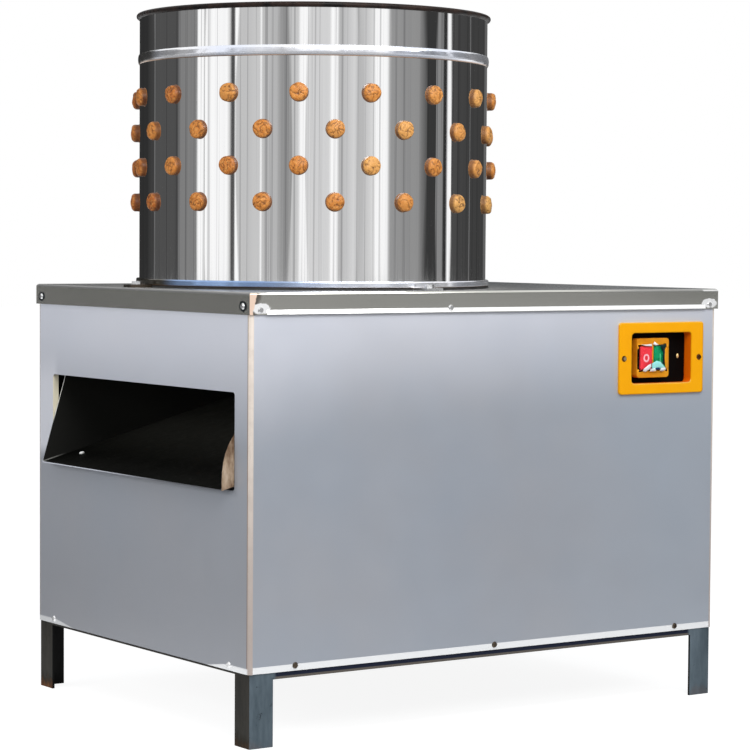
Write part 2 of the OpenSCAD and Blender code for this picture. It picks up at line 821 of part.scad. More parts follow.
module feather_chute() {
  back_z = chute_floor(chute_back_x);
  color("darkslategray") place()
    difference() {
      union() {
        along_y(chute_y0, chute_y1)
          polygon([[lip_x, lip_z], [chute_back_x, back_z], [chute_back_x, chute_top],
            [chute_back_x + sheet_t, chute_top], [chute_back_x + sheet_t, back_z - chute_floor_t],
            [lip_x, lip_z - chute_floor_t]]);
        for (cheek = [[chute_y0, cheek_bow], [chute_y1 - sheet_t, far_edge]])
          along_y(cheek[0], cheek[0] + sheet_t)
            polygon(concat([[lip_x, lip_z - chute_floor_t]], cheek[1], [[chute_mouth_x, chute_top],
              [chute_back_x + sheet_t, chute_top], [chute_back_x + sheet_t, back_z - chute_floor_t]]));
        translate([chute_mouth_x, -chute_flange_y, chute_top - sheet_t])
          cube([chute_back_x + sheet_t - chute_mouth_x, chute_flange_y + chute_y0 + sheet_t, sheet_t]);
        translate([chute_mouth_x, chute_y1 - sheet_t, chute_top - sheet_t])
          cube([chute_back_x + sheet_t - chute_mouth_x, chute_flange_y - chute_y1 + sheet_t, sheet_t]);
      }
      translate([drum_x, 0, housing_bottom])
        cylinder(d = housing_od + 2 * run_gap, h = housing_top - housing_bottom);
      chute_screw_axes() screw_hole(sheet_t + angle_t);
      clamp_bolt_holes();
    }
}

// Drum

module drum_gasket() {
  color("black") at_drum()
    translate([0, 0, cover_top])
      difference() {
        cylinder(r = drum_r + ring_proud, h = gasket_t);
        translate([0, 0, -cut]) cylinder(r = throat_r, h = gasket_t + 2 * cut);
      }
}

module base_ring() {
  edge = ring_proud / 2;
  color("lightgray") at_drum()
    translate([0, 0, drum_base])
      rotate_extrude()
        translate([drum_r, 0])
          polygon(concat([[fit, 0]], arc(ring_proud - edge, edge, edge, -90, 0, bend_n),
            arc(ring_proud - edge, ring_h - edge, edge, 0, 90, bend_n), [[fit, ring_h]]));
}

module drum_shell() {
  color("gainsboro") at_drum()
    difference() {
      translate([0, 0, drum_base]) cylinder(r = drum_r, h = shell_h);
      translate([0, 0, drum_base - cut]) cylinder(r = drum_in_r, h = shell_h + 2 * cut);
      for (row = [1:4])
        for (i = [0:fingers_per_row - 1])
          at_finger(row, i)
            translate([0, 0, -wall_grip - cut]) cylinder(d = finger_hole_d, h = 2 * wall_grip + 2 * cut);
    }
}

// A half-round hoop round the shell
module drum_hoop() {
  color("lightgray") at_drum()
    translate([0, 0, rim_top - hoop_drop])
      rotate_extrude()
        translate([drum_r + fit, 0])
          polygon([for (i = [0:2 * bend_n])
            let (a = -90 + 90 * i / bend_n) [hoop_proud * cos(a), hoop_h / 2 * sin(a)]]);
}

// The rolled rim grips the top edge of the shell
module drum_rim() {
  mid_r = drum_r + rim_proud - rim_d / 2;
  color("dimgray") at_drum()
    translate([0, 0, rim_top - rim_d / 2])
      difference() {
        rotate_extrude() translate([mid_r, 0]) circle(d = rim_d, $fn = 32);
        difference() {
          translate([0, 0, -rim_d]) cylinder(r = drum_r + fit, h = rim_d);
          translate([0, 0, -rim_d - cut]) cylinder(r = drum_in_r - fit, h = rim_d + 2 * cut);
        }
      }
}

// A flat lug that butts on the foot of the base ring and is bolted to the cover
module drum_clamps() {
  foot_r = drum_r + ring_proud - clamp_t;
  color("silver") at_drum()
    difference() {
      for (i = [0:3])
        rotate([0, 0, clamp_phase[i] + i * 90])
          translate([foot_r, -clamp_w / 2, cover_top])
            cube([clamp_bolt_r[i] + clamp_end - foot_r, clamp_w, clamp_t]);
      translate([0, 0, cover_top - cut])
        cylinder(r = drum_r + ring_proud + fit, h = gasket_t + ring_h + 2 * cut);
      for (i = [0:3])
        at_clamp_bolt(i) bolt_hole(clamp_t);
    }
}

// A ribbed rubber finger: head below Z = 0, neck of the given grip, tapered body above
module finger(grip) {
  step = finger_len / rib_count;
  ribs = [for (i = [0:rib_count - 1])
    let (r = root_d / 2 + (tip_d - root_d) / 2 * i / rib_count)
    each [[r - rib_depth, grip + i * step + step / 4], [r, grip + (i + 1) * step - step / 4]]];
  rotate_extrude($fn = 32)
    polygon(concat([[0, -head_h]],
      arc(head_d / 2 - head_edge_r, -head_h + head_edge_r, head_edge_r, -90, 0, bend_n / 2),
      [[head_d / 2, 0], [neck_d / 2, 0], [neck_d / 2, grip], [root_d / 2, grip]], ribs,
      [[tip_d / 2 - rib_depth, grip + finger_len], [0, grip + finger_len]]));
}

// Places a finger of the drum wall, its body pointing at the axis; even rows start at the phase
module at_finger(row, i) {
  rotate([0, 0, finger_phase - (row % 2) * row_stagger + i * 360 / fingers_per_row])
    translate([drum_r + finger_gap, 0, drum_base + row_start + (row - 1) * row_pitch])
      rotate([0, -90, 0]) children();
}

module wall_fingers(row) {
  color("peru") at_drum()
    for (i = [0:fingers_per_row - 1])
      at_finger(row, i) finger(wall_grip);
}

module wall_fingers_row_1() { wall_fingers(1); }
module wall_fingers_row_2() { wall_fingers(2); }
module wall_fingers_row_3() { wall_fingers(3); }
module wall_fingers_row_4() { wall_fingers(4); }

// Turning plate and shaft

module plate_finger_axes() {
  for (i = [0:outer_ring_n - 1])
    rotate([0, 0, i * 360 / outer_ring_n]) translate([outer_ring_r, 0, plate_bottom - finger_gap]) children();
  for (i = [0:inner_ring_n - 1])
    rotate([0, 0, i * 360 / inner_ring_n]) translate([inner_ring_r, 0, plate_bottom - finger_gap]) children();
}

module plate_bolt_axes() {
  for (i = [0:plate_bolt_n - 1])
    rotate([0, 0, 45 + i * 360 / plate_bolt_n]) translate([hub_bolt_r, 0, plate_top]) children();
}

module feather_plate() {
  color("silver") at_drum()
    difference() {
      translate([0, 0, plate_bottom]) cylinder(d = plate_d, h = plate_t);
      translate([0, 0, plate_bottom - cut]) cylinder(d = shaft_stud_d + 2 * fit, h = plate_t + 2 * cut);
      plate_finger_axes() translate([0, 0, -cut]) cylinder(d = finger_hole_d, h = plate_grip + 2 * cut);
      plate_bolt_axes() bolt_hole(plate_t);
    }
}

module plate_fingers() {
  color("peru") at_drum() plate_finger_axes() finger(plate_grip);
}

module plate_hub() {
  color("slategray") at_drum()
    difference() {
      union() {
        translate([0, 0, hub_bottom]) cylinder(d = hub_d, h = hub_len);
        translate([0, 0, plate_bottom - hub_flange_t]) cylinder(d = hub_flange_d, h = hub_flange_t);
      }
      translate([0, 0, hub_bottom - cut]) cylinder(d = shaft_d + 2 * fit, h = hub_len + 2 * cut);
      plate_bolt_axes() bolt_hole(plate_t + hub_flange_t);
    }
}

// Four bolts through plate and hub, and the nut on the shaft
module plate_bolts() {
  color("silver") at_drum() {
    plate_bolt_axes() hex_bolt(plate_t + hub_flange_t);
    translate([0, 0, plate_top])
      difference() {
        cylinder(d = 1.8 * shaft_stud_d, h = 0.8 * shaft_stud_d, $fn = 6);
        translate([0, 0, -cut]) cylinder(d = shaft_stud_d + 2 * fit, h = shaft_stud_d + 2 * cut);
      }
  }
}

module drive_shaft() {
  color("darkgray") at_drum() {
    translate([0, 0, shaft_bottom]) cylinder(d = shaft_d, h = plate_bottom - shaft_bottom);
    translate([0, 0, plate_bottom - cut])
      cylinder(d = shaft_stud_d, h = cut + plate_t + 0.8 * shaft_stud_d + bolt_end);
  }
}

// A cup on the shaft that throws water off the upper bearing
module shaft_slinger() {
  color("black") at_drum()
    translate([0, 0, hub_bottom - slinger_t])
      difference() {
        translate([0, 0, -slinger_skirt]) cylinder(d = slinger_d, h = slinger_skirt + slinger_t);
        translate([0, 0, -slinger_skirt - cut])
          cylinder(d = slinger_d - 2 * slinger_t, h = slinger_skirt + cut);
        translate([0, 0, -cut]) cylinder(d = shaft_d + 2 * fit, h = slinger_t + 2 * cut);
      }
}

module bearing_housing() {
  inner_d = bearing_od - 2 * housing_shoulder;
  seat = bearing_w + housing_lip;
  color("slategray") at_drum()
    difference() {
      union() {
        translate([0, 0, housing_bottom]) cylinder(d = housing_od, h = housing_top - housing_bottom);
        translate([-housing_flange_w / 2, -housing_flange_d / 2, beam_top])
          cube([housing_flange_w, housing_flange_d, hub_flange_t]);
      }
      translate([0, 0, housing_bottom - cut])
        cylinder(d = inner_d, h = housing_top - housing_bottom + 2 * cut);
      translate([0, 0, housing_bottom - cut]) cylinder(d = bearing_od + 2 * fit, h = seat + cut);
      translate([0, 0, housing_top - seat]) cylinder(d = bearing_od + 2 * fit, h = seat + cut);
      housing_bolt_axes() bolt_hole(hub_flange_t);
    }
}

module bearing_ring(od, id) {
  for (z = [lower_bearing_z, upper_bearing_z])
    translate([0, 0, z])
      difference() {
        cylinder(d = od, h = bearing_w);
        translate([0, 0, -cut]) cylinder(d = id, h = bearing_w + 2 * cut);
      }
}

module bearing_outer_rings() {
  color("lightgray") at_drum() bearing_ring(bearing_od, bearing_inner_od + 2 * run_gap);
}

module bearing_inner_rings() {
  color("lightgray") at_drum() bearing_ring(bearing_inner_od, shaft_d + 2 * fit);
}

// Belt drive

// The groove follows the belt's flanks at a small gap, with room under the belt
module groove_section() {
  lift = cut * tan(belt_flank) + groove_gap;
  sink = (belt_h + groove_relief) * tan(belt_flank) - groove_gap;
  polygon([[cut, -belt_w / 2 - lift], [cut, belt_w / 2 + lift],
    [-belt_h - groove_relief, belt_w / 2 - sink], [-belt_h - groove_relief, -belt_w / 2 + sink]]);
}

module pulley_blank(r) {
  difference() {
    translate([0, 0, belt_z - pulley_w / 2]) cylinder(r = r, h = pulley_w);
    for (z = belt_offsets)
      translate([0, 0, belt_z + z]) rotate_extrude() translate([r, 0]) groove_section();
  }
}

module driven_pulley() {
  rim_in_r = driven_r - belt_h - groove_relief - pulley_rim_t;
  hole_r = (rim_in_r + pulley_boss_d / 2) / 2;
  pocket = (pulley_w - pulley_web_t) / 2;
  color("darkslategray") at_drum()
    difference() {
      pulley_blank(driven_r);
      for (z = [belt_z - pulley_w / 2 - cut, belt_z + pulley_web_t / 2])
        translate([0, 0, z])
          difference() {
            cylinder(r = rim_in_r, h = pocket + cut);
            translate([0, 0, -cut]) cylinder(d = pulley_boss_d, h = pocket + 3 * cut);
          }
      for (i = [0:pulley_hole_n - 1])
        rotate([0, 0, i * 360 / pulley_hole_n]) translate([hole_r, 0, belt_z - pulley_w])
          cylinder(d = 0.6 * (rim_in_r - pulley_boss_d / 2), h = 2 * pulley_w);
      translate([0, 0, belt_z - pulley_w]) cylinder(d = shaft_d + 2 * fit, h = 2 * pulley_w);
    }
}

// Belt loop: sections of the belt set along the arcs on both pulleys, joined by two straight runs
module belt_loop() {
  section = [[0, -belt_w / 2], [0, belt_w / 2], [-belt_h, belt_in_w / 2], [-belt_h, -belt_in_w / 2]];
  // Each stop is the pulley's centre on X, its radius and the angle of the section
  stops = concat(
    [for (i = [0:belt_arc_n]) [0, driven_r, belt_wrap + (360 - 2 * belt_wrap) * i / belt_arc_n]],
    [for (i = [0:belt_arc_n / 3]) [belt_span, motor_pulley_r, -belt_wrap + 6 * belt_wrap * i / belt_arc_n]]);
  count = len(stops);
  points = [for (s = stops, p = section)
    [s[0] + (s[1] + p[0]) * cos(s[2]), (s[1] + p[0]) * sin(s[2]), p[1]]];
  faces = [for (i = [0:count - 1], j = [0:3])
    let (next = (i + 1) % count, turn = (j + 1) % 4)
    [4 * i + j, 4 * i + turn, 4 * next + turn, 4 * next + j]];
  polyhedron(points, faces);
}

module v_belts() {
  color("black") at_drum()
    for (z = belt_offsets)
      translate([0, 0, belt_z + z]) belt_loop();
}

module motor_pulley() {
  color("darkslategray") at_motor()
    difference() {
      pulley_blank(motor_pulley_r);
      translate([0, 0, belt_z - pulley_w]) cylinder(d = motor_shaft_d + 2 * fit, h = 2 * pulley_w);
    }
}

// Motor

module motor_shaft() {
  color("darkgray") at_motor()
    translate([0, 0, shaft_bottom])
      cylinder(d = motor_shaft_d, h = motor_top + fan_lift + fan_h - shaft_bottom);
}

module motor_fan() {
  color("dimgray") at_motor()
    translate([0, 0, motor_top + fan_lift])
      difference() {
        union() {
          cylinder(d = fan_hub_d, h = fan_h);
          cylinder(d = fan_d, h = fan_disc_t);
          for (i = [0:fan_blade_n - 1])
            rotate([0, 0, i * 360 / fan_blade_n])
              translate([motor_shaft_d / 2 + fan_disc_t, -fan_disc_t / 2, fan_disc_t / 2])
                cube([fan_d / 2 - motor_shaft_d / 2 - 2 * fan_disc_t, fan_disc_t, fan_h - fan_disc_t]);
        }
        translate([0, 0, -cut]) cylinder(d = motor_shaft_d + 2 * fit, h = fan_h + 2 * cut);
      }
}

module motor_flange() {
  color("steelblue") at_motor()
    difference() {
      union() {
        translate([0, 0, motor_plate_top - spigot_h]) cylinder(d = spigot_d, h = spigot_h + motor_flange_t);
        translate([0, 0, motor_plate_top]) cylinder(d = motor_flange_d, h = motor_flange_t);
      }
      translate([0, 0, motor_plate_top - spigot_h - cut])
        cylinder(d = motor_shaft_d + 2 * run_gap, h = spigot_h + motor_flange_t + 2 * cut);
      motor_bolt_axes() bolt_hole(motor_flange_t);
    }
}

module motor_body() {
  pad_w = terminal_w - 2 * fin_t;
  color("steelblue") at_motor()
    difference() {
      union() {
        translate([0, 0, motor_base]) cylinder(d = motor_d - 2 * fin_h, h = motor_h);
        for (i = [0:fin_n - 1])
          rotate([0, 0, i * 360 / fin_n]) translate([0, -fin_t / 2, motor_base + motor_flange_t])
            cube([motor_d / 2, fin_t, motor_h - 2 * motor_flange_t]);
        translate([-pad_w / 2, -motor_d / 2, motor_base + (motor_h - terminal_h) / 2])
          cube([pad_w, motor_d / 2, terminal_h]);
      }
      translate([0, 0, motor_base - cut]) cylinder(d = motor_shaft_d + 2 * run_gap, h = motor_h + 2 * cut);
    }
}

module motor_fan_cover() {
  cover_d = motor_d + 2 * fan_cover_t;
  vent_n = 8;
  vent_r = motor_d / 4;
  color("dimgray") at_motor()
    translate([0, 0, motor_top])
      difference() {
        cylinder(d = cover_d, h = fan_cover_h);
        translate([0, 0, fan_cover_t]) cylinder(d = motor_d, h = fan_cover_h - 2 * fan_cover_t);
        translate([0, 0, -cut]) cylinder(d = motor_d - 3 * fin_h, h = fan_cover_t + 2 * cut);
        for (i = [0:vent_n - 1])
          rotate([0, 0, i * 360 / vent_n])
            translate([vent_r, 0, fan_cover_h - 2 * fan_cover_t])
              cylinder(d = 0.6 * vent_r, h = 3 * fan_cover_t);
      }
}

module motor_terminal_box() {
  lid_t = 6;
  color("dimgray") at_motor()
    translate([0, -motor_d / 2, motor_base + (motor_h - terminal_h) / 2]) {
      along_y(-terminal_d + lid_t - fit, 0)
        translate([0, terminal_h / 2]) polygon(rounded(terminal_w - lid_t, terminal_h - lid_t, corner_r));
      along_y(-terminal_d, -terminal_d + lid_t)
        translate([0, terminal_h / 2]) polygon(rounded(terminal_w, terminal_h, corner_r));
    }
}

// Switch

module switch_box() {
  wall_w = recess_w + 2 * box_wall;
  wall_h = recess_h + 2 * box_wall;
  color("gold") place()
    difference() {
      translate([switch_mid_x, 0, switch_z])
        difference() {
          union() {
            along_y(switch_face, -cabinet_d / 2) polygon(rounded(flange_w, flange_h, flange_corner));
            along_y(-cabinet_d / 2 - cut, switch_back)
              polygon(rounded(wall_w, wall_h, recess_corner + box_wall));
          }
          along_y(switch_face - cut, switch_back + cut) polygon(rounded(recess_w, recess_h, recess_corner));
        }
      flange_screw_axes() screw_hole(flange_t);
    }
}

module switch_back_plate() {
  color("black") place()
    translate([switch_mid_x, 0, switch_z])
      along_y(switch_back, switch_back + back_plate_t)
        polygon(rounded(recess_w + 2 * box_wall, recess_h + 2 * box_wall, recess_corner + box_wall));
}

// The two buttons slide in wells of the switch body, with a bridge between them
module switch_body() {
  face = switch_back - switch_depth;
  color("orange") place()
    translate([switch_body_x, 0, switch_z])
      difference() {
        along_y(face, switch_back) polygon(rounded(switch_w, switch_h, flange_corner));
        for (side = [-1, 1])
          along_y(face - cut, face + button_depth + button_travel - button_proud + cut / 2)
            translate([side * (button_w + button_bridge + 2 * button_gap) / 2, 0])
              square([button_w + 2 * button_gap, button_h + 2 * button_gap], center = true);
      }
}

module button(side) {
  face = switch_back - switch_depth - button_proud;
  place()
    translate([switch_body_x + side * (button_w + button_bridge + 2 * button_gap) / 2, 0, switch_z]) {
      along_y(face + button_edge, face + button_depth)
        square([button_w, button_h], center = true);
      along_y(face, face + button_edge + fit)
        polygon(rounded(button_w - button_edge, button_h - button_edge, button_edge));
    }
}

module stop_button() { color("red") button(-1); }
module start_button() { color("green") button(1); }

module cable_gland() {
  color("black") place()
    translate([cabinet_w / 2, gland_y, gland_z]) rotate([0, 90, 0]) {
      difference() {
        union() {
          translate([0, 0, -gland_in]) cylinder(d = gland_thread_d, h = gland_in + cut);
          cylinder(d = gland_hex, h = gland_hex_t, $fn = 6);
          translate([0, 0, gland_hex_t - cut])
            cylinder(d1 = gland_cap_d, d2 = 0.7 * gland_cap_d, h = gland_cap_h + cut);
        }
        translate([0, 0, -gland_in - cut]) cylinder(d = gland_bore_d, h = gland_in + gland_out + 2 * cut);
      }
      translate([0, 0, -sheet_t - gland_nut_t])
        difference() {
          cylinder(d = gland_hex, h = gland_nut_t, $fn = 6);
          translate([0, 0, -cut]) cylinder(d = gland_thread_d + 2 * fit, h = gland_nut_t + 2 * cut);
        }
    }
}

leg_front_left();
leg_front_right();
leg_rear_left();
leg_rear_right();
bottom_rail_front();
bottom_rail_rear();
bottom_rail_left();
bottom_rail_right();
top_rail_front();
top_rail_rear();
top_rail_left();
top_rail_right();
mid_rail_front();
mid_rail_rear();
bearing_beam_left();
bearing_beam_right();
motor_plate();
front_panel();
rear_panel();
left_panel();
right_panel();
top_cover();
sheet_screws();
hex_bolts();
feather_chute();
drum_gasket();
base_ring();
drum_shell();
drum_hoop();
drum_rim();
drum_clamps();
wall_fingers_row_1();
wall_fingers_row_2();
wall_fingers_row_3();
wall_fingers_row_4();
feather_plate();
plate_fingers();
plate_hub();
plate_bolts();
drive_shaft();
shaft_slinger();
bearing_housing();
bearing_outer_rings();
bearing_inner_rings();
driven_pulley();
v_belts();
motor_pulley();
motor_shaft();
motor_fan();
motor_flange();
motor_body();
motor_fan_cover();
motor_terminal_box();
switch_box();
switch_back_plate();
switch_body();
start_button();
stop_button();
cable_gland();
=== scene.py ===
import json
import math
import random

import bmesh
import bpy
from mathutils import Matrix, Vector, noise


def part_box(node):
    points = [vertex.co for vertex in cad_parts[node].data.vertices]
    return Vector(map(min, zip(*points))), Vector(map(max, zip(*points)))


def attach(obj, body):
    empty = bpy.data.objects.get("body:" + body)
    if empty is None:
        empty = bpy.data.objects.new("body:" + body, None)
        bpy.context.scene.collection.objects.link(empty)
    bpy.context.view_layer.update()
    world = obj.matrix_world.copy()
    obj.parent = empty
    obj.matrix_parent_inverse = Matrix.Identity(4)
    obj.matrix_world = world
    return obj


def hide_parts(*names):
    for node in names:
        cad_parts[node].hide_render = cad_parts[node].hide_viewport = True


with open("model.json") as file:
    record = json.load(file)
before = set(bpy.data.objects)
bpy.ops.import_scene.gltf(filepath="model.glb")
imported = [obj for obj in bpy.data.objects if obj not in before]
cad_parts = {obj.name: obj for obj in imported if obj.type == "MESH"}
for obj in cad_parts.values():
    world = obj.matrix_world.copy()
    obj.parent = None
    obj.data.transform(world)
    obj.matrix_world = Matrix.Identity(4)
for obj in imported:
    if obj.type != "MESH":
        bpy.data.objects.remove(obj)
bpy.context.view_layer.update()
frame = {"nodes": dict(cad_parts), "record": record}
nodes = frame["nodes"]

MM = 0.001
# Colour sockets of Blender's Mix node
MIX_COLOURS = slice(6, 8)
MIX_RESULT = 2

# Camera: the photograph's place, heading and focal length
CAMERA_AT = (-2.40781, -3.49106, 0.73802)
CAMERA_YAW = math.radians(34.584)
CAMERA_PITCH = math.radians(3.056)
CAMERA_ROLL = math.radians(0.381)
CAMERA_FAR = 100.0
IMAGE_PX = 750
FOCAL_PX = 2627.42
SENSOR_MM = 36.0

# Studio
WHITE = (1.0, 1.0, 1.0, 1.0)
FLOOR_SIZE = 40.0
FLOOR_ALBEDO = 0.45
FLOOR_GLOW = 0.9
FLOOR_SHADE = 0.28
SKY_FILL = (0.93, 0.96, 1.0, 1.0)
SKY_FILL_LEVEL = 0.45
# Soft lamps: name, place, target, size, watts, then whether reflections show it
LAMPS = [
    ("front_softbox", (-0.1, -1.15, 1.5), (0.0, -0.33, 0.55), (1.8, 0.4), 11.0, True),
    ("left_softbox", (-1.7, 0.0, 0.75), (-0.45, 0.0, 0.5), (1.2, 0.5), 7.5, False),
    ("key_softbox", (-1.2, -3.0, 2.2), (-0.1, -0.3, 0.8), (1.6, 1.0), 40.0, True),
]

# Grey cards, seen only in reflections: heading in degrees from +X, then level
WALL_RADIUS = 9.0
WALL_BOTTOM = -0.5
WALL_SPLIT = 0.48
WALL_TOP = 4.2
# Upper ring, which the drum shows
WALL_CARDS = [
    (0, 0.05), (1, 0.22), (2, 0.05), (30, 0.05), (36, 0.13), (45, 0.13), (47, 0.25), (49.5, 0.2), (50.5, 0.1),
    (62, 0.1), (65, 0.13), (68, 0.03), (98, 0.03), (109, 0.06), (110.5, 0.22), (112, 0.08), (139, 0.08),
    (141, 0.22), (156, 0.22), (157.5, 1.0), (162, 1.0), (163, 0.4), (164.5, 1.0), (179.5, 1.0), (182, 0.55),
    (183, 0.1), (185, 0.1), (186, 1.0), (188, 1.0), (189, 0.55), (202, 0.6), (203, 1.0), (204, 0.55),
    (214, 0.5), (215.5, 0.33), (219.5, 0.33), (221, 0.55), (226.5, 0.6), (228, 1.0), (232, 1.0), (234, 0.7),
    (246, 0.7), (247.5, 1.0), (251, 1.0), (252.5, 0.5), (262, 0.72), (264, 0.5), (274, 0.7), (276, 1.0),
    (284, 1.0), (286.5, 0.32), (308, 0.28), (312, 0.1), (314, 0.04), (323, 0.04), (324.5, 0.25),
    (328.5, 0.25), (330, 0.03), (332.5, 0.03), (333.5, 1.0), (336, 1.0), (338, 0.07), (359, 0.05),
]
# Lower ring, which the sides of the cabinet and its cover show
LOW_CARDS = [(0, 0.3), (50, 0.2), (100, 0.2), (150, 0.2), (200, 0.36), (270, 0.42), (305, 0.43), (340, 0.38)]
# Dark fan on the floor in front and to the left
GROUND_GREY = 0.25
GROUND_HEADINGS = (118, 140, 165, 190, 215, 240, 265, 290, 312)
GROUND_CARDS = [(90, 1.0), *((heading, GROUND_GREY) for heading in GROUND_HEADINGS), (350, 1.0)]
# Rings of the fan: radius, then the share of grey left there
GROUND_RINGS = [(0.95, 1.0), (5.5, 1.0), (8.5, 0.0)]

# Finger sizes and places repeated from the part's source
FINGER_GAP = 0.3 * MM
HEAD_D = 29 * MM
HEAD_H = 14 * MM
HEAD_EDGE = 6 * MM
HEAD_CROWN = 1.4 * MM
FINGER_NECK_D = 18 * MM
FINGER_ROOT_D = 24 * MM
FINGER_TIP_D = 17 * MM
FINGER_LEN = 76 * MM
FINGER_RIBS = 8
RIB_DEPTH = 1.2 * MM
WALL_GRIP = 2.07 * MM
PLATE_GRIP = 6.6 * MM
WALL_ROWS = 4
FINGERS_PER_ROW = 16
FINGER_PHASE = 7.3
ROW_STAGGER = 180 / FINGERS_PER_ROW
PLATE_RINGS = [(0.212, 12), (0.140, 8)]

# Rings of a finger: shares of its face, steps of its edge, then place and swelling or depth of the rest
FACE_RINGS = (0.1, 0.28, 0.46, 0.64, 0.82, 1.0)
EDGE_STEPS = 6
FLANK_RINGS = [(-4.5 * MM, 0.0), (-2 * MM, 0.0), (-0.6 * MM, 0.3 * MM), (0.0, 0.0)]
RIB_RINGS = [(0.12, RIB_DEPTH), (0.4, 0.2 * MM), (0.65, 0.0), (0.86, 0.3 * MM)]
TIP_RINGS = [(-1.5 * MM, 0.0), (-0.4 * MM, 1 * MM), (0.0, 2.5 * MM)]
FINGER_SEGMENTS = 36
# Lobes, wrinkles and lumps of a finger's head
LOBES = (2, 3, 5)
LOBE_SIZE = (0.01, 0.035)
NOISE_REACH = 50
WRINKLE_SCALE = 150
WRINKLE_WIDTH = 0.13
WRINKLE_DEPTH = 1.1 * MM
LUMP_SCALE = 80
LUMP_DEPTH = 1.3 * MM
# Distance from the drum where a head's flank turns into its wrinkled face
HEAD_FACE = (5 * MM, 11 * MM)
# Headings over which the heads turn pale as painted light, and the share of that painted light on the plate
PAINTED_LIGHT_HEADINGS = (170, 285)
PLATE_PAINTED_LIGHT = 0.6
ROW_SEED = 100
PLATE_SEED = 1000

# Places repeated from the part's source, in metres
CHEEK_Y = -0.28075
LIP_Z = 0.3715
CHUTE_RISE = math.tan(math.radians(15))
OUTLET_FOLD_Y = 0.27475
# Bolt head on the chute's floor; brass screw on the switch's back plate (x, z)
CHUTE_BOLT_AT = (-0.40988, 0.23305, 0.38493)
BRASS_AT = (0.3718, 0.548)
# Screws of the switch flange, the cover's front corners and its left skirt: from the middle, over the foot
FLANGE_SCREW_X = 0.0775
COVER_SCREW_X = 0.424
COVER_SCREW_RISE = 0.009
SKIRT_SCREW_Y = 0.309
SKIRT_SCREW_RISE = 0.0122
# Height between the base ring and the hoop, and the span of the painted glint at the top of the far cheek's
# edge
RING_SPLIT_Z = (0.75, 0.8)
CHEEK_GLINT_Z = (0.43, 0.45)
# Places that tell the flange screws, foot screws and left lug from other zinc pieces
FLANGE_SCREW_Z = ((0.53, 0.535), (0.56, 0.565))
FLANGE_FROM_X = (0.23, 0.235)
RIGHT_FROM_X = (0.34, 0.36)
FOOT_SCREW_Z = (0.13, 0.135)
FRONT_SCREW_Y = (-0.31, -0.3)
LEFT_LUG_X = (-0.38, -0.36)

# Raised marks: button, then slot and material; sizes of the ring and the bar
MARKS = {"stop_button": ("button_red", "mark_pink"), "start_button": ("button_green", "mark_green")}
MARK_DEPTH = 0.4 * MM
RING_OUTER = (5.9 * MM, 6.5 * MM)
RING_INNER = (3.4 * MM, 3.9 * MM)
RING_SEGMENTS = 32
BAR_HALF = (1.0 * MM, 6.5 * MM)
BAR_CHAMFER = 0.3 * MM

# Seal round the buttons: corner is its outline's sharpness, waves are count, size and phase
SEAL_GAP = 0.5 * MM
SEAL_BORDER = 4.2 * MM
SEAL_UPRIGHT = 0.5
SEAL_CHAMFER = 0.4 * MM
SEAL_DEPTH = 0.5 * MM
SEAL_FOOT = 0.05 * MM
SEAL_SEGMENTS = 96
SEAL_OUTER_CORNER = 9
SEAL_INNER_CORNER = 16
SEAL_WAVES = [(6, 1.3 * MM, 0.7), (11, 0.6 * MM, 0.0)]

# Film over the buttons
FILM_MARGIN = 3.5 * MM
FILM_STAND = 0.6 * MM
FILM_THICKNESS = 0.4 * MM
FILM_COLUMNS, FILM_ROWS = 36, 28
FILM_SWELL = 3.2 * MM
FILM_FOLD = 0.8 * MM
FILM_SAG = 2.0 * MM
FILM_SAG_FROM = -0.3
# Its folds, coloured as painted reflections and glare: colour, then corners in millimetres from the middle of
# the buttons and in steps of depth
FOLD_STEP = 0.6 * MM
FOLD_CROWN = 0.8
FOLD_LOOPS = ((1.0, -0.5), (0.92, 0.0), (0.45, 0.5))
FILM_GLARE_FOLDS = [
    ("film_white", [(-22.6, -20.7, 4), (-21.4, -17.1, 6), (-12.9, -10.7, 8), (-6.8, -8.6, 8),
                    (-5.8, -13.6, 6), (-9.4, -17.9, 5), (-16.5, -21.9, 4)]),
    ("film_cyan", [(-4.8, -17.9, 7), (-5.9, -8.6, 8.5), (3.5, -4.3, 9.5), (12.1, -6.4, 9.5),
                   (22.9, -15.7, 7), (14.3, -16.7, 7)]),
    ("film_white", [(-8, -21.4, 4), (-7.9, -17.1, 7.5), (2.1, -16.4, 8.5), (4.3, -20.7, 6), (-1.3, -21.9, 4)]),
    ("film_white", [(11.9, -20.7, 6), (12.8, -16.1, 8), (22.9, -15.3, 7), (25.2, -19, 5), (18.7, -21.9, 4)]),
    ("film_navy", [(0.8, -16.7, 9.6), (5.5, -14.7, 10), (11.4, -16.4, 9.8), (10.1, -18.6, 9.2),
                   (3.2, -18.9, 9)]),
    ("film_white", [(-27, 21.9, 4), (-19, 21.3, 5), (-4.7, 22.4, 5), (-4.2, 18.4, 6), (-17.6, 19, 6)]),
    ("film_white", [(-2.2, 22.1, 4), (2.1, 26.1, 3), (5.4, 23.3, 4), (9.5, 20.4, 6), (2.4, 19.6, 6)]),
    ("film_teal", [(11, 21, 6), (25.8, 21.4, 5), (22.9, 14.7, 7), (14, 14.3, 7.5)]),
    ("film_teal", [(15.2, 15, 7), (22.8, 15, 6), (21, -2.1, 7), (22, -12.1, 6), (17.7, -8.6, 7),
                   (17.8, 6.4, 7.5)]),
    ("switch_orange", [(21.2, 13.6, 7.5), (25.8, 18.6, 6), (32.1, 15.7, 2), (32.1, -15, 2), (27.3, -19.3, 4),
                       (22.8, -15, 7), (20, -0.7, 8)]),
]

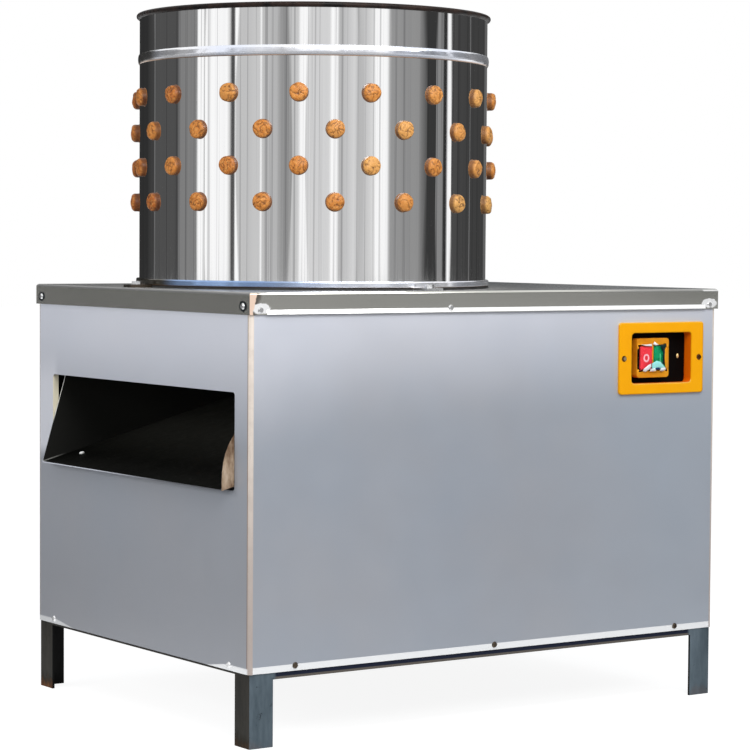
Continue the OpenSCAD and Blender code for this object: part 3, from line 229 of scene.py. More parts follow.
# Small heads: radius and height of each ring in millimetres
BOLT_SEGMENTS = 24
BRASS_RINGS = [(2.4, 0.0), (2.4, 0.5), (2.0, 1.2), (1.1, 1.6), (0.3, 1.7)]
BRASS_STRETCH = 1.6
BOLT_RINGS = [(4.2, 0.0), (4.2, 1.2), (3.4, 2.4), (1.8, 3.1), (0.4, 3.3)]

# Colours of the panels: sheet with painted shade below and painted light above, tints (the left side's with
# painted shade and light), painted highlights on the corner folds, painted glints on the feet and a painted
# highlight on the outlet fold
PANEL_PAINTED_SHADE = [(0.34, (0.375, 0.41, 0.47)), (0.66, (0.405, 0.42, 0.46))]
PANEL_PAINTED_LIGHT = [(0.34, (0.67, 0.695, 0.775)), (0.66, (0.7, 0.715, 0.78))]
PANEL_RIGHT = (0.45, 0.51, 0.59)
PANEL_LEFT_PAINTED_SHADE = (0.33, 0.335, 0.36)
PANEL_LEFT_PAINTED_LIGHT = (0.9, 0.92, 1.0)
PANEL_BY_OUTLET = (0.76, 0.775, 0.84)
PANEL_SPECKLE = (0.62, 0.64, 0.67)
FOLD_HIGHLIGHT_LOW = (0.53, 0.45, 0.41)
FOLD_HIGHLIGHT_HIGH = (0.9, 0.8, 0.71)
FOLD_SMUDGE = (0.5, 0.43, 0.38)
FOLD_EDGE = (0.2, 0.12, 0.08)
PANEL_GLINT = (0.93, 0.94, 0.95)
OUTLET_FOLD_HIGHLIGHT = (1.0, 0.92, 0.7)

# Colours of the cover: skirt, painted shade on the bends and a painted highlight near a bend's end, a dark
# band and painted highlight at the corner, painted highlights and shadows round the screws, a painted
# reflection on the lip, then its deck's painted light and shade
COVER_SATIN = [(0.35, (0.66, 0.66, 0.615)), (0.65, (0.71, 0.705, 0.66))]
COVER_BRUSHED = (0.6, 0.6, 0.56)
COVER_BEND_SHADE = (0.2, 0.2, 0.195)
COVER_BEND_END_HIGHLIGHT = (0.95, 0.95, 0.94)
COVER_CORNER_DARK = (0.2, 0.16, 0.13)
COVER_CORNER_HIGHLIGHT = (0.96, 0.72, 0.57)
COVER_SCREW_HIGHLIGHT = (0.95, 0.95, 0.95)
COVER_SCREW_SHADOW = (0.05, 0.065, 0.075)
COVER_LIP_REFLECTION = (0.97, 0.97, 0.97)
DECK_LIGHT_BY_DRUM = (0.38, 0.375, 0.36)
DECK_AWAY = (0.25, 0.25, 0.245)
DECK_RIGHT_SHADE = (0.095, 0.108, 0.117)
DECK_CLOUD = (0.22, 0.22, 0.215)

# Colours of the drum and its rings, the rings with a painted blue reflection and painted shade below
DRUM_MIRROR = [(0.3, (0.88, 0.88, 0.89)), (0.7, (0.98, 0.98, 0.98))]
DRUM_LINES = (0.5, 0.5, 0.51)
RING_PALE = [(0.35, (0.82, 0.86, 0.97)), (0.65, (0.97, 0.97, 1.0))]
RING_BLUE_REFLECTION = [(0.35, (0.26, 0.39, 0.66)), (0.65, (0.34, 0.49, 0.77))]
RING_LEFT_DARK = (0.1, 0.09, 0.07)
RING_UNDER_SHADE = (0.36, 0.2, 0.1)

# Colours of the frame: faces painted lighter and bluer in front and darker brown elsewhere as painted light
# and shade, spots, painted shade on inner faces, rust, and painted shade on the rail above its lip
FRAME_SHADED_BROWN = [(0.3, (0.013, 0.012, 0.01)), (0.72, (0.042, 0.038, 0.031))]
FRAME_LIT_BLUE = [(0.3, (0.055, 0.078, 0.095)), (0.72, (0.16, 0.205, 0.24))]
FRAME_SPOTS = (0.012, 0.014, 0.018)
FRAME_INSIDE_SHADE = (0.002, 0.002, 0.002)
FRAME_RUST = ((0.14, 0.055, 0.02), (0.3, 0.13, 0.05))
RAIL_SHADE = (0.012, 0.016, 0.034)
RAIL_LIP = (0.13, 0.115, 0.1)

# Colours of the zinc pieces, with painted shade at the rim of the left flange screw
ZINC_BRIGHT = [(0.3, (0.78, 0.79, 0.8)), (0.7, (0.93, 0.93, 0.94))]
ZINC_DARK = (0.1, 0.08, 0.06)
SCREW_TAN = (0.72, 0.56, 0.38)
SCREW_RIM_SHADE = (0.09, 0.045, 0.015)
SCREW_BROWN = (0.13, 0.05, 0.015)

# Colours of the chute: painted shade inside, paler deep inside as painted light, dirt on the near cheek, and
# painted highlights on the seam, lip and far cheek's edge
CHUTE_INSIDE_SHADE = [(0.3, (0.0022, 0.0023, 0.0019)), (0.8, (0.0044, 0.0045, 0.0037))]
CHUTE_DEEP_LIGHT = (0.034, 0.034, 0.029)
CHUTE_FAR_CHEEK_SHADE = (0.02, 0.02, 0.018)
CHUTE_DIRT = [(0.35, (0.16, 0.09, 0.05)), (0.52, (0.5, 0.37, 0.26)), (0.72, (0.8, 0.68, 0.55))]
CHUTE_SEAM_HIGHLIGHT = (0.28, 0.28, 0.26)
CHUTE_LIP_HIGHLIGHT = (0.6, 0.62, 0.68)
CHUTE_GLINT = (0.9, 0.9, 0.88)

# Colours of the fingers with painted shade in their creases, the switch box with a painted highlight on its
# edges and painted shade in its recess, and the film
FINGER_TONES = [(0.0, (0.37, 0.09, 0.011)), (0.5, (0.58, 0.205, 0.034)), (1.0, (0.72, 0.38, 0.11))]
FINGER_MARBLE = (0.86, 0.45, 0.13)
FINGER_PAINTED_SHADE = (0.075, 0.02, 0.005)
YELLOW_FACE = [(0.3, (0.97, 0.405, 0.001)), (0.7, (1.0, 0.44, 0.002))]
YELLOW_EDGE_HIGHLIGHT = (1.0, 0.66, 0.16)
YELLOW_RECESS_SHADE = (0.88, 0.16, 0.001)
FILM_CLEAR = (0.98, 0.99, 1.0, 1.0)

# Plain materials: name, metallic, specular, tone noise, colours, roughness, grain (noise, strength, depth),
# then the gloss's noise where it isn't the tone's
TURNED = (500.0, 3.0, 0.55, (0.05, 0.05, 1))
PLAIN = [
    ("dark_rim", 0.1, 0.15, (45.0, 4.0), [(0.35, (0.006, 0.005, 0.005)), (0.75, (0.038, 0.022, 0.017))],
     (0.4, 0.55), ((300.0, 3.0), 0.08, 0.3 * MM)),
    ("black_rubber", 0.0, 0.5, (60.0, 5.0), [(0.4, (0.012, 0.012, 0.012)), (0.85, (0.05, 0.048, 0.045))],
     (0.55, 0.8), ((500.0, 3.0), 0.2, 0.3 * MM)),
    ("plate_aluminium", 1.0, 0.5, (30.0, 5.0), [(0.3, (0.62, 0.63, 0.64)), (0.7, (0.78, 0.79, 0.8))],
     (0.28, 0.42), ((400.0, 3.0), 0.1, 0.2 * MM), (200.0, 3.0)),
    ("bright_steel", 1.0, 0.5, TURNED, [(0.3, (0.55, 0.55, 0.56)), (0.7, (0.7, 0.7, 0.7))],
     (0.16, 0.3), (TURNED, 0.06, 0.2 * MM)),
    ("cast_iron", 0.5, 0.5, (50.0, 6.0, 0.7), [(0.3, (0.05, 0.05, 0.052)), (0.7, (0.12, 0.118, 0.115))],
     (0.55, 0.75), ((320.0, 5.0), 0.4, 0.5 * MM)),
    ("motor_paint", 0.0, 0.5, (40.0, 5.0), [(0.3, (0.07, 0.14, 0.21)), (0.75, (0.11, 0.2, 0.28))],
     (0.35, 0.5), ((350.0, 4.0), 0.15, 0.4 * MM)),
    ("brass_screw", 0.6, 0.5, (400.0, 3.0), [(0.3, (0.9, 0.6, 0.2)), (0.7, (1.0, 0.82, 0.42))],
     (0.3, 0.45), None),
    ("bolt_paint", 0.0, 0.5, (300.0, 3.0), [(0.3, (0.85, 0.86, 0.84)), (0.7, (0.97, 0.97, 0.95))],
     (0.3, 0.45), None),
]
# Moulded plastics: name, dark and light tone, roughness, specular
PLASTICS = [
    ("dark_plastic", (0.0015, 0.001, 0.001), (0.0035, 0.003, 0.003), 0.5, 0.04),
    ("switch_orange", (0.66, 0.2, 0.003), (0.86, 0.37, 0.015), 0.32, 0.12),
    ("button_green", (0.002, 0.19, 0.07), (0.003, 0.26, 0.1), 0.3, 0.1),
    ("button_red", (0.58, 0.02, 0.03), (0.68, 0.035, 0.05), 0.3, 0.12),
    ("mark_pink", (0.8, 0.36, 0.4), (0.86, 0.48, 0.52), 0.35, 0.4),
    ("mark_green", (0.05, 0.5, 0.2), (0.1, 0.58, 0.26), 0.35, 0.4),
    # The film's colours, used as painted reflections and glare on its folds
    ("film_white", (0.82, 0.86, 0.88), (0.95, 0.96, 0.97), 0.15, 0.5),
    ("film_cyan", (0.28, 0.82, 0.78), (0.45, 0.92, 0.88), 0.15, 0.5),
    ("film_navy", (0.002, 0.02, 0.1), (0.004, 0.04, 0.16), 0.2, 0.4),
    ("film_teal", (0.001, 0.012, 0.014), (0.002, 0.03, 0.028), 0.25, 0.2),
]


def polar(radius, angle):
    return radius * math.cos(angle), radius * math.sin(angle)


def turn(count):
    """The angles of a circle's points."""
    return [2 * math.pi * i / count for i in range(count)]


def drum_axis():
    """The drum's middle from above and its radius."""
    low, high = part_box("drum_shell")
    return (low[0] + high[0]) / 2, (low[1] + high[1]) / 2, (high[0] - low[0]) / 2


def front_middle(low, high, y):
    """The middle of a box seen from the front, at a depth."""
    return Vector(((low[0] + high[0]) / 2, y, (low[2] + high[2]) / 2))


class Graph:
    """Short ways to add and join the nodes of one shader tree."""

    def __init__(self, tree):
        self.tree = tree

    def add(self, kind, inputs=(), **settings):
        node = self.tree.nodes.new("ShaderNode" + kind)
        for key, value in settings.items():
            setattr(node, key, value)
        for key, value in dict(inputs).items():
            self.feed(node.inputs[key], value)
        return node

    def feed(self, socket, value):
        if isinstance(value, bpy.types.NodeSocket):
            self.tree.links.new(value, socket)
        else:
            socket.default_value = value

    def math(self, operation, *values):
        node = self.add("Math", operation=operation)
        for socket, value in zip(node.inputs, values):
            self.feed(socket, value)
        return node.outputs[0]

    def plus(self, first, second):
        return self.math("ADD", first, second)

    def minus(self, first, second):
        return self.math("SUBTRACT", first, second)

    def times(self, first, *others):
        for other in others:
            first = self.math("MULTIPLY", first, other)
        return first

    def most(self, first, *others):
        for other in others:
            first = self.math("MAXIMUM", first, other)
        return first

    def absolute(self, value):
        return self.math("ABSOLUTE", value)

    def reach(self, across, along):
        """Length of a vector of two parts."""
        squares = [self.times(part, part) for part in (across, along)]
        return self.math("SQRT", self.plus(*squares))

    def place(self, stretch=(1, 1, 1)):
        """Frame coordinates in metres, stretched along the axes."""
        coords = self.add("TexCoord").outputs["Object"]
        return self.add("Mapping", {"Vector": coords, "Scale": stretch}).outputs[0]

    def axis(self, name):
        """One coordinate of a point."""
        return self.add("SeparateXYZ", {"Vector": self.place()}).outputs[name]

    def normal(self, name):
        """One part of the surface's direction."""
        return self.add("SeparateXYZ", {"Vector": self.add("NewGeometry").outputs["Normal"]}).outputs[name]

    def noise(self, scale, detail=4.0, roughness=0.55, stretch=(1, 1, 1)):
        inputs = {"Vector": self.place(stretch), "Scale": scale, "Detail": detail, "Roughness": roughness}
        return self.add("TexNoise", inputs).outputs["Fac"]

    def band(self, value, low, high, low_out=0.0, high_out=1.0):
        """A smooth step of value between low and high."""
        inputs = {"Value": value, "From Min": low, "From Max": high, "To Min": low_out, "To Max": high_out}
        return self.add("MapRange", inputs, interpolation_type="SMOOTHSTEP").outputs[0]

    def fall(self, value, low, high, start=1.0):
        """A smooth step down to 0."""
        return self.band(value, low, high, start, 0.0)

    def within(self, value, rise, fall):
        """1 after a smooth step up and before one down."""
        return self.times(self.band(value, *rise), self.fall(value, *fall))

    def ramp(self, value, stops):
        node = self.add("ValToRGB", {"Fac": value})
        elements = node.color_ramp.elements
        while len(elements) < len(stops):
            elements.new(0.5)
        for element, (position, colour) in zip(elements, stops):
            element.position = position
            element.color = (*colour, 1.0)
        return node.outputs["Color"]

    def mix(self, factor, first, second):
        node = self.add("Mix", data_type="RGBA")
        self.feed(node.inputs["Factor"], factor)
        for socket, value in zip(node.inputs[MIX_COLOURS], (first, second)):
            self.feed(socket, (*value, 1.0) if isinstance(value, tuple) else value)
        return node.outputs[MIX_RESULT]

    def soft_edges(self, radius):
        """The surface's direction with its edges rounded."""
        return self.add("Bevel", {"Radius": radius}, samples=4).outputs[0]

    def bump(self, height, strength, distance, normal=None):
        node = self.add("Bump", {"Height": height, "Strength": strength, "Distance": distance})
        if normal is not None:
            self.feed(node.inputs["Normal"], normal)
        return node.outputs[0]


# Stage

def add_camera():
    data = bpy.data.cameras.new("photo_camera")
    data.sensor_fit = "HORIZONTAL"
    data.sensor_width = SENSOR_MM
    data.lens = SENSOR_MM * FOCAL_PX / IMAGE_PX
    data.clip_end = CAMERA_FAR
    camera = bpy.data.objects.new("photo_camera", data)
    heading = Matrix.Rotation(-CAMERA_YAW, 4, "Z") @ Matrix.Rotation(math.pi / 2 - CAMERA_PITCH, 4, "X")
    camera.matrix_world = Matrix.Translation(CAMERA_AT) @ heading @ Matrix.Rotation(CAMERA_ROLL, 4, "Z")
    bpy.context.scene.collection.objects.link(camera)
    bpy.context.scene.camera = camera


def empty_graph(owner):
    owner.use_nodes = True
    owner.node_tree.nodes.clear()
    return Graph(owner.node_tree)


def by_ray(graph, lit, seen):
    """One shader as light on the object; another for the rays that show the background."""
    path = graph.add("LightPath").outputs
    shows = graph.most(path["Is Camera Ray"], path["Is Glossy Ray"], path["Is Transmission Ray"])
    return graph.add("MixShader", {0: shows, 1: lit.outputs[0], 2: seen.outputs[0]}).outputs[0]


def light_world():
    world = bpy.data.worlds.new("studio")
    bpy.context.scene.world = world
    graph = empty_graph(world)
    fill = graph.add("Background", {"Color": SKY_FILL, "Strength": SKY_FILL_LEVEL})
    white = graph.add("Background", {"Color": WHITE, "Strength": 1.0})
    graph.add("OutputWorld", {"Surface": by_ray(graph, fill, white)})


def stage_object(name, mesh, material):
    piece = bpy.data.objects.new(name, mesh)
    piece.data.materials.append(material)
    bpy.context.scene.collection.objects.link(piece)
    return piece


def add_floor():
    half = FLOOR_SIZE / 2
    mesh = bpy.data.meshes.new("studio_floor")
    corners = [(-half, -half, 0), (half, -half, 0), (half, half, 0), (-half, half, 0)]
    mesh.from_pydata(corners, [], [(0, 1, 2, 3)])
    material = bpy.data.materials.new("studio_floor")
    graph = empty_graph(material)
    pale, shade = (
        graph.add("BsdfDiffuse", {"Color": (grey, grey, grey, 1.0)}) for grey in (FLOOR_ALBEDO, FLOOR_SHADE)
    )
    glow = graph.add("Emission", {"Color": WHITE, "Strength": FLOOR_GLOW})
    white = graph.add("AddShader", {0: glow.outputs[0], 1: shade.outputs[0]})
    graph.add("OutputMaterial", {"Surface": by_ray(graph, pale, white)})
    stage_object("studio_floor", mesh, material)


def add_cards(name, points, faces, levels):
    """Cards that glow at each point's level and show only in reflections."""
    mesh = bpy.data.meshes.new(name)
    mesh.from_pydata(points, [], faces)
    mesh.attributes.new("level", "FLOAT", "POINT").data.foreach_set("value", levels)
    material = bpy.data.materials.new(name)
    graph = empty_graph(material)
    level = graph.add("Attribute", attribute_name="level").outputs["Fac"]
    card = graph.add("Emission", {"Strength": level})
    graph.add("OutputMaterial", {"Surface": card.outputs[0]})
    piece = stage_object(name, mesh, material)
    for ray in ("camera", "diffuse", "transmission", "shadow"):
        setattr(piece, f"visible_{ray}", False)


def add_wall(name, cards, bottom, top):
    """A ring of cards, as round a photographed polished drum."""
    points, levels = [], []
    for heading, grey in cards:
        for z in (bottom, top):
            points.append((*polar(WALL_RADIUS, math.radians(heading)), z))
            levels.append(grey)
    count = len(cards)
    faces = [(2 * i, 2 * i + 1, 2 * j + 1, 2 * j) for i, j in zip(range(count), [*range(1, count), 0])]
    add_cards(name, points, faces, levels)


def add_ground_cards():
    points, levels, faces = [], [], []
    for heading, grey in GROUND_CARDS:
        for radius, share in GROUND_RINGS:
            points.append((*polar(radius, math.radians(heading)), MM))
            levels.append(1.0 + (grey - 1.0) * share)
    rings = len(GROUND_RINGS)
    for i in range(len(GROUND_CARDS) - 1):
        for j in range(rings - 1):
            first = i * rings + j
            faces.append((first, first + 1, first + rings + 1, first + rings))
    add_cards("studio_ground_cards", points, faces, levels)


def add_lamp(name, place, target, size, power, in_reflections):
    data = bpy.data.lights.new(name, "AREA")
    data.shape = "RECTANGLE"
    data.size, data.size_y = size
    data.energy = power
    lamp = bpy.data.objects.new(name, data)
    aim = (Vector(target) - Vector(place)).to_track_quat("-Z", "Y")
    lamp.matrix_world = Matrix.Translation(place) @ aim.to_matrix().to_4x4()
    lamp.visible_glossy = in_reflections
    bpy.context.scene.collection.objects.link(lamp)


# Materials

def new_material(name, **sockets):
    """A Principled material: constants go on its own sockets; the graph adds what varies."""
    material = bpy.data.materials.new(name)
    material.use_nodes = True
    shader = material.node_tree.nodes["Principled BSDF"]
    for key, value in sockets.items():
        shader.inputs[key.replace("_", " ")].default_value = value
    return material, Graph(material.node_tree), shader.inputs


def panel_painted_light(g, cloud, fine, foot):
    """Painted light and shade: grey below and pale above, paler lower down at the front's left, with tints to
    the right, painted shade low and painted light high on the left side, and paler beside its outlet.
    """
    x, y, z = g.axis("X"), g.axis("Y"), g.axis("Z")
    left = g.fall(g.normal("X"), -0.98, -0.9)
    # Painted shade below and painted light above, the front's left painted paler lower down; a bluer, paler
    # grey to the right
    grey = g.mix(g.band(x, 0.0, 0.4, 0.0, 0.5), g.ramp(cloud, PANEL_PAINTED_SHADE), PANEL_RIGHT)
    height = g.plus(z, g.fall(x, -0.45, -0.2, 0.045))
    sheet = g.mix(g.band(height, foot + 0.34, foot + 0.54), grey, g.ramp(cloud, PANEL_PAINTED_LIGHT))
    # Painted shade low and painted light high on the left side
    sheet = g.mix(g.times(left, g.fall(z, foot, foot + 0.4, 0.65)), sheet, PANEL_LEFT_PAINTED_SHADE)
    sheet = g.mix(g.times(left, g.band(z, foot + 0.4, foot + 0.52, 0.0, 0.3)), sheet, PANEL_LEFT_PAINTED_LIGHT)
    far = g.times(left, g.band(y, OUTLET_FOLD_Y - 20 * MM, OUTLET_FOLD_Y))
    far = g.times(far, g.within(z, (foot + 0.265, foot + 0.29), (foot + 0.38, foot + 0.46)))
    sheet = g.mix(far, sheet, PANEL_BY_OUTLET)
    return g.mix(g.band(fine, 0.35, 0.75, 0.0, 0.08), sheet, PANEL_SPECKLE)


def painted_light_fold(g, side, foot):
    """Painted highlight on the upright corner folds: peach above, brown below, smudged, with a dark line at
    the edge.
    """
    painted_light = g.mix(g.band(g.axis("Z"), foot, foot + 0.5), FOLD_HIGHLIGHT_LOW, FOLD_HIGHLIGHT_HIGH)
    painted_light = g.mix(g.band(g.noise(60.0), 0.4, 0.7, 0.0, 0.25), painted_light, FOLD_SMUDGE)
    return g.mix(g.band(side, 0.95, 0.98, 0.0, 0.75), painted_light, FOLD_EDGE)


def panel_sheet():
    """Satin sheet with painted light and shade, painted highlights on the corner folds, painted glints and
    reflections on the feet and a painted cream highlight on the outlet fold.
    """
    material, g, out = new_material("panel_sheet")
    cloud, fine = g.noise(3.2), g.noise(1400.0, 2.0)
    y = g.axis("Y")
    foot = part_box("front_panel")[0][2]
    side, front = g.absolute(g.normal("X")), g.absolute(g.normal("Y"))
    # Painted highlight on the upright corner folds
    fold = g.band(g.math("MINIMUM", side, front), 0.03, 0.08)
    sheet = g.mix(fold, panel_painted_light(g, cloud, fine, foot), painted_light_fold(g, side, foot))
    # Painted glints on the side panels' feet, reaching higher towards the corners
    rise = g.times(g.minus(g.axis("Z"), foot), 110.0)
    painted_glint = g.band(g.minus(g.band(g.absolute(y), 0.19, 0.275), rise), 0.0, 0.2)
    painted_glint = g.times(painted_glint, g.band(side, 0.9, 0.98))
    # Painted reflection on the foot strips that face down, with the painted glints
    bright = g.most(g.fall(g.normal("Z"), -0.13, -0.09), painted_glint)
    sheet = g.mix(bright, sheet, PANEL_GLINT)
    # Painted cream highlight on the outlet's fold
    edges = [OUTLET_FOLD_Y + step * MM for step in (-1.0, -0.5, 0.5, 1.0)]
    lip = g.times(g.within(y, edges[:2], edges[2:]), g.band(front, 0.8, 0.95))
    g.feed(out["Base Color"], g.mix(lip, sheet, OUTLET_FOLD_HIGHLIGHT))
    g.feed(out["Metallic"], g.fall(lip, 0.0, 1.0, 0.3))
    satin = g.band(g.noise(18.0, 5.0), 0.3, 0.75, 0.4, 0.48)
    g.feed(out["Roughness"], g.minus(satin, g.times(bright, 0.25)))
    grain = g.bump(fine, 0.05, 0.2 * MM)
    g.feed(out["Normal"], g.bump(cloud, 0.03, 2 * MM, grain))
    return material


def screw_patch(g, axis, place, height, half_w, half_h):
    """1 in a ragged oval round the two screws at plus and minus place along an axis."""
    across = g.math("DIVIDE", g.minus(g.absolute(g.axis(axis)), place), half_w)
    upright = g.math("DIVIDE", g.minus(g.axis("Z"), height), half_h)
    ragged = g.plus(g.reach(across, upright), g.times(g.noise(160.0, 3.0), 0.6))
    return g.fall(ragged, 1.05, 1.25)


def deck_painted_light(g, cloud):
    """Grey of the cover's top: painted light round the drum, painted shade towards the right, and a cloud."""
    x = g.axis("X")
    axis_x, axis_y, radius = drum_axis()
    distance = g.reach(g.minus(x, axis_x), g.minus(g.axis("Y"), axis_y))
    # Painted light round the drum, painted shade to the right
    tone = g.mix(g.band(distance, radius, radius + 70 * MM), DECK_LIGHT_BY_DRUM, DECK_AWAY)
    tone = g.mix(g.band(x, 0.0, 0.3), tone, DECK_RIGHT_SHADE)
    return g.mix(g.band(cloud, 0.4, 0.65, 0.0, 0.4), tone, DECK_CLOUD)


def cover_sheet():
    """Satin stainless, faintly brushed: a painted peach highlight and dark band on the front corner, a painted
    white reflection on the lip, painted highlights and shadows round the screws, painted shade on the bends.
    """
    material, g, out = new_material("cover_sheet")
    brushed, cloud = g.noise(220.0, 3.0, 0.6, (0.012, 1, 1)), g.noise(4.0)
    low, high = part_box("top_cover")
    x, z, upward = g.axis("X"), g.axis("Z"), g.normal("Z")
    facing = g.fall(g.normal("Y"), -0.8, -0.5)
    colour = g.mix(g.band(brushed, 0.35, 0.7, 0.0, 0.12), g.ramp(cloud, COVER_SATIN), COVER_BRUSHED)
    # Painted shade: the bends at the top are darkened on the left and to the right
    bend = g.within(upward, (0.05, 0.15), (0.9, 0.98))
    bend = g.times(bend, g.band(z, high[2] - 5 * MM, high[2] - 4.5 * MM))
    painted_light = g.times(bend, g.most(g.fall(g.normal("X"), -0.3, -0.1), g.band(x, 0.1, 0.3, 0.0, 0.75)))
    colour = g.mix(painted_light, colour, COVER_BEND_SHADE)
    deck = g.band(upward, 0.97, 0.99)
    colour = g.mix(deck, colour, deck_painted_light(g, cloud))
    # A painted highlight on the front's left corner, ragged and wider above, with a dark band round it
    width = g.band(z, low[2], high[2], 4 * MM, 12 * MM)
    ragged = g.plus(g.minus(x, width), g.times(g.noise(130.0, 3.0), 6 * MM))
    corner = g.times(facing, g.fall(ragged, low[0] + 3 * MM, low[0] + 5 * MM))
    corner_dark = g.times(facing, g.fall(ragged, low[0] + 6 * MM, low[0] + 14 * MM, 0.8))
    colour = g.mix(corner_dark, colour, COVER_CORNER_DARK)
    # Painted highlights round the front corner screws
    patch = screw_patch(g, "X", COVER_SCREW_X, low[2] + COVER_SCREW_RISE, 19 * MM, 9 * MM)
    patch = g.times(facing, patch)
    colour = g.mix(patch, colour, COVER_SCREW_HIGHLIGHT)
    colour = g.mix(corner, colour, COVER_CORNER_HIGHLIGHT)
    # Painted shadows round the left skirt's screws
    halo = screw_patch(g, "Y", SKIRT_SCREW_Y, low[2] + SKIRT_SCREW_RISE, 13 * MM, 9 * MM)
    colour = g.mix(g.times(g.fall(g.normal("X"), -0.8, -0.5), halo), colour, COVER_SCREW_SHADOW)
    # Painted highlight on the bend near the right end
    end = g.times(bend, g.band(x, high[0] - 34 * MM, high[0] - 30 * MM), g.fall(upward, 0.5, 0.7, 0.9))
    colour = g.mix(end, colour, COVER_BEND_END_HIGHLIGHT)
    # Painted white reflection on the lip
    lip = g.times(g.band(upward, 0.2, 0.3), g.fall(z, low[2] + 9 * MM, low[2] + 10 * MM))
    g.feed(out["Base Color"], g.mix(lip, colour, COVER_LIP_REFLECTION))
    flat = g.most(deck, painted_light)
    g.feed(out["Metallic"], g.minus(1.0, g.times(g.most(lip, corner, flat, patch), 0.75)))
    satin = g.band(brushed, 0.3, 0.75, 0.1, 0.15)
    g.feed(out["Roughness"], g.plus(satin, g.times(flat, 0.12)))
    g.feed(out["Normal"], g.bump(brushed, 0.03, 0.2 * MM))
    return material


def drum_stainless():
    """Mirror sheet rolled into a drum: faint upright streaks, thin grey lines and ripples."""
    material, g, out = new_material("drum_stainless", Metallic=1.0)
    streak = g.noise(45.0, 4.0, 0.6, (1, 1, 0.004))
    lines = g.noise(150.0, 3.0, 0.7, (1, 1, 0.002))
    colour = g.mix(g.band(lines, 0.53, 0.64, 0.0, 0.75), g.ramp(streak, DRUM_MIRROR), DRUM_LINES)
    g.feed(out["Base Color"], colour)
    fine = g.noise(400.0, 2.0, stretch=(1, 1, 0.01))
    g.feed(out["Roughness"], g.band(fine, 0.3, 0.8, 0.025, 0.07))
    ripple = g.bump(g.noise(20.0, 3.0, stretch=(1, 1, 0.01)), 0.08, 1.0 * MM)
    g.feed(out["Normal"], g.bump(streak, 0.08, 0.3 * MM, ripple))
    return material


def ring_steel():
    """Polished hoop and base ring: a painted blue reflection on the base ring, darker to the left, painted
    brown shade below.
    """
    material, g, out = new_material("ring_steel", Metallic=0.8)
    tone = g.noise(10.0)
    x, y = g.axis("X"), g.axis("Y")
    base = g.fall(g.axis("Z"), *RING_SPLIT_Z)
    # Painted blue reflection on the base ring's left
    blue_reflection = g.times(base, g.fall(x, -0.36, -0.18))
    colour = g.mix(blue_reflection, g.ramp(tone, RING_PALE), g.ramp(tone, RING_BLUE_REFLECTION))
    # Darker to the left on the base ring and on a band of the hoop
    side = g.fall(x, -0.3, -0.2)
    ring_left_dark = g.times(base, side, g.band(y, -0.05, 0.0))
    hoop_dark_band = g.times(g.band(y, 0.0, 0.045, 0.0, 0.85), g.fall(y, 0.12, 0.16))
    hoop_left_dark = g.times(g.minus(1.0, base), side, hoop_dark_band)
    colour = g.mix(g.most(ring_left_dark, hoop_left_dark), colour, RING_LEFT_DARK)
    # Painted brown shade on the faces that look down
    g.feed(out["Base Color"], g.mix(g.fall(g.normal("Z"), -0.65, -0.25), colour, RING_UNDER_SHADE))
    g.feed(out["Roughness"], g.band(g.noise(120.0, 3.0), 0.3, 0.7, 0.1, 0.2))
    g.feed(out["Normal"], g.bump(g.noise(60.0, 3.0), 0.04, 0.5 * MM))
    return material


def frame_steel():
    """Dark angle iron: faces painted blue and lighter in front and brown and darker elsewhere as painted light
    and shade, painted shade on inner faces, rust at the rear feet, painted shade on the rail above a
    grey-brown lip.
    """
    material, g, out = new_material("frame_steel", Specular_IOR_Level=0.1)
    x, y, z = g.axis("X"), g.axis("Y"), g.axis("Z")
    nx, ny = g.normal("X"), g.normal("Y")
    scale = g.noise(34.0, 6.0, 0.65, (1, 1, 0.22))
    # Painted light and shade: faces that look forward are lighter and bluer, the rest darker brown
    facing = g.fall(ny, -0.9, -0.6)
    paint = g.mix(facing, g.ramp(scale, FRAME_SHADED_BROWN), g.ramp(scale, FRAME_LIT_BLUE))
    paint = g.mix(g.band(g.noise(75.0, 5.0), 0.62, 0.7, 0.0, 0.7), paint, FRAME_SPOTS)
    # Painted shade on the faces that look inward
    outward = g.plus(g.times(nx, g.math("SIGN", x)), g.times(ny, g.math("SIGN", y)))
    inside = g.fall(outward, -0.7, -0.3)
    paint = g.mix(inside, paint, FRAME_INSIDE_SHADE)
    patch = g.plus(g.noise(48.0, 6.0, 0.7, (1, 1, 0.6)), g.band(z, 0.0, 0.03, 0.28, -0.1))
    rust = g.times(g.band(patch, 0.55, 0.9), g.band(y, -0.1, 0.1, 0.15, 0.8), g.minus(1.0, inside))
    paint = g.mix(rust, paint, g.mix(g.noise(160.0), *FRAME_RUST))
    # Painted shade on the rail's front above its grey-brown lip
    rail_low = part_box("bottom_rail_front")[0][2]
    edges = [rail_low + step * MM for step in (-1.0, -0.5, 3.2, 4.2)]
    navy = g.mix(g.within(z, edges[:2], edges[2:]), RAIL_SHADE, RAIL_LIP)
    rail = g.times(facing, g.fall(g.absolute(x), 0.39, 0.397))
    g.feed(out["Base Color"], g.mix(rail, paint, navy))
    g.feed(out["Roughness"], g.band(patch, 0.4, 0.75, 0.45, 0.8))
    g.feed(out["Normal"], g.bump(patch, 0.2, 0.5 * MM))
    return material


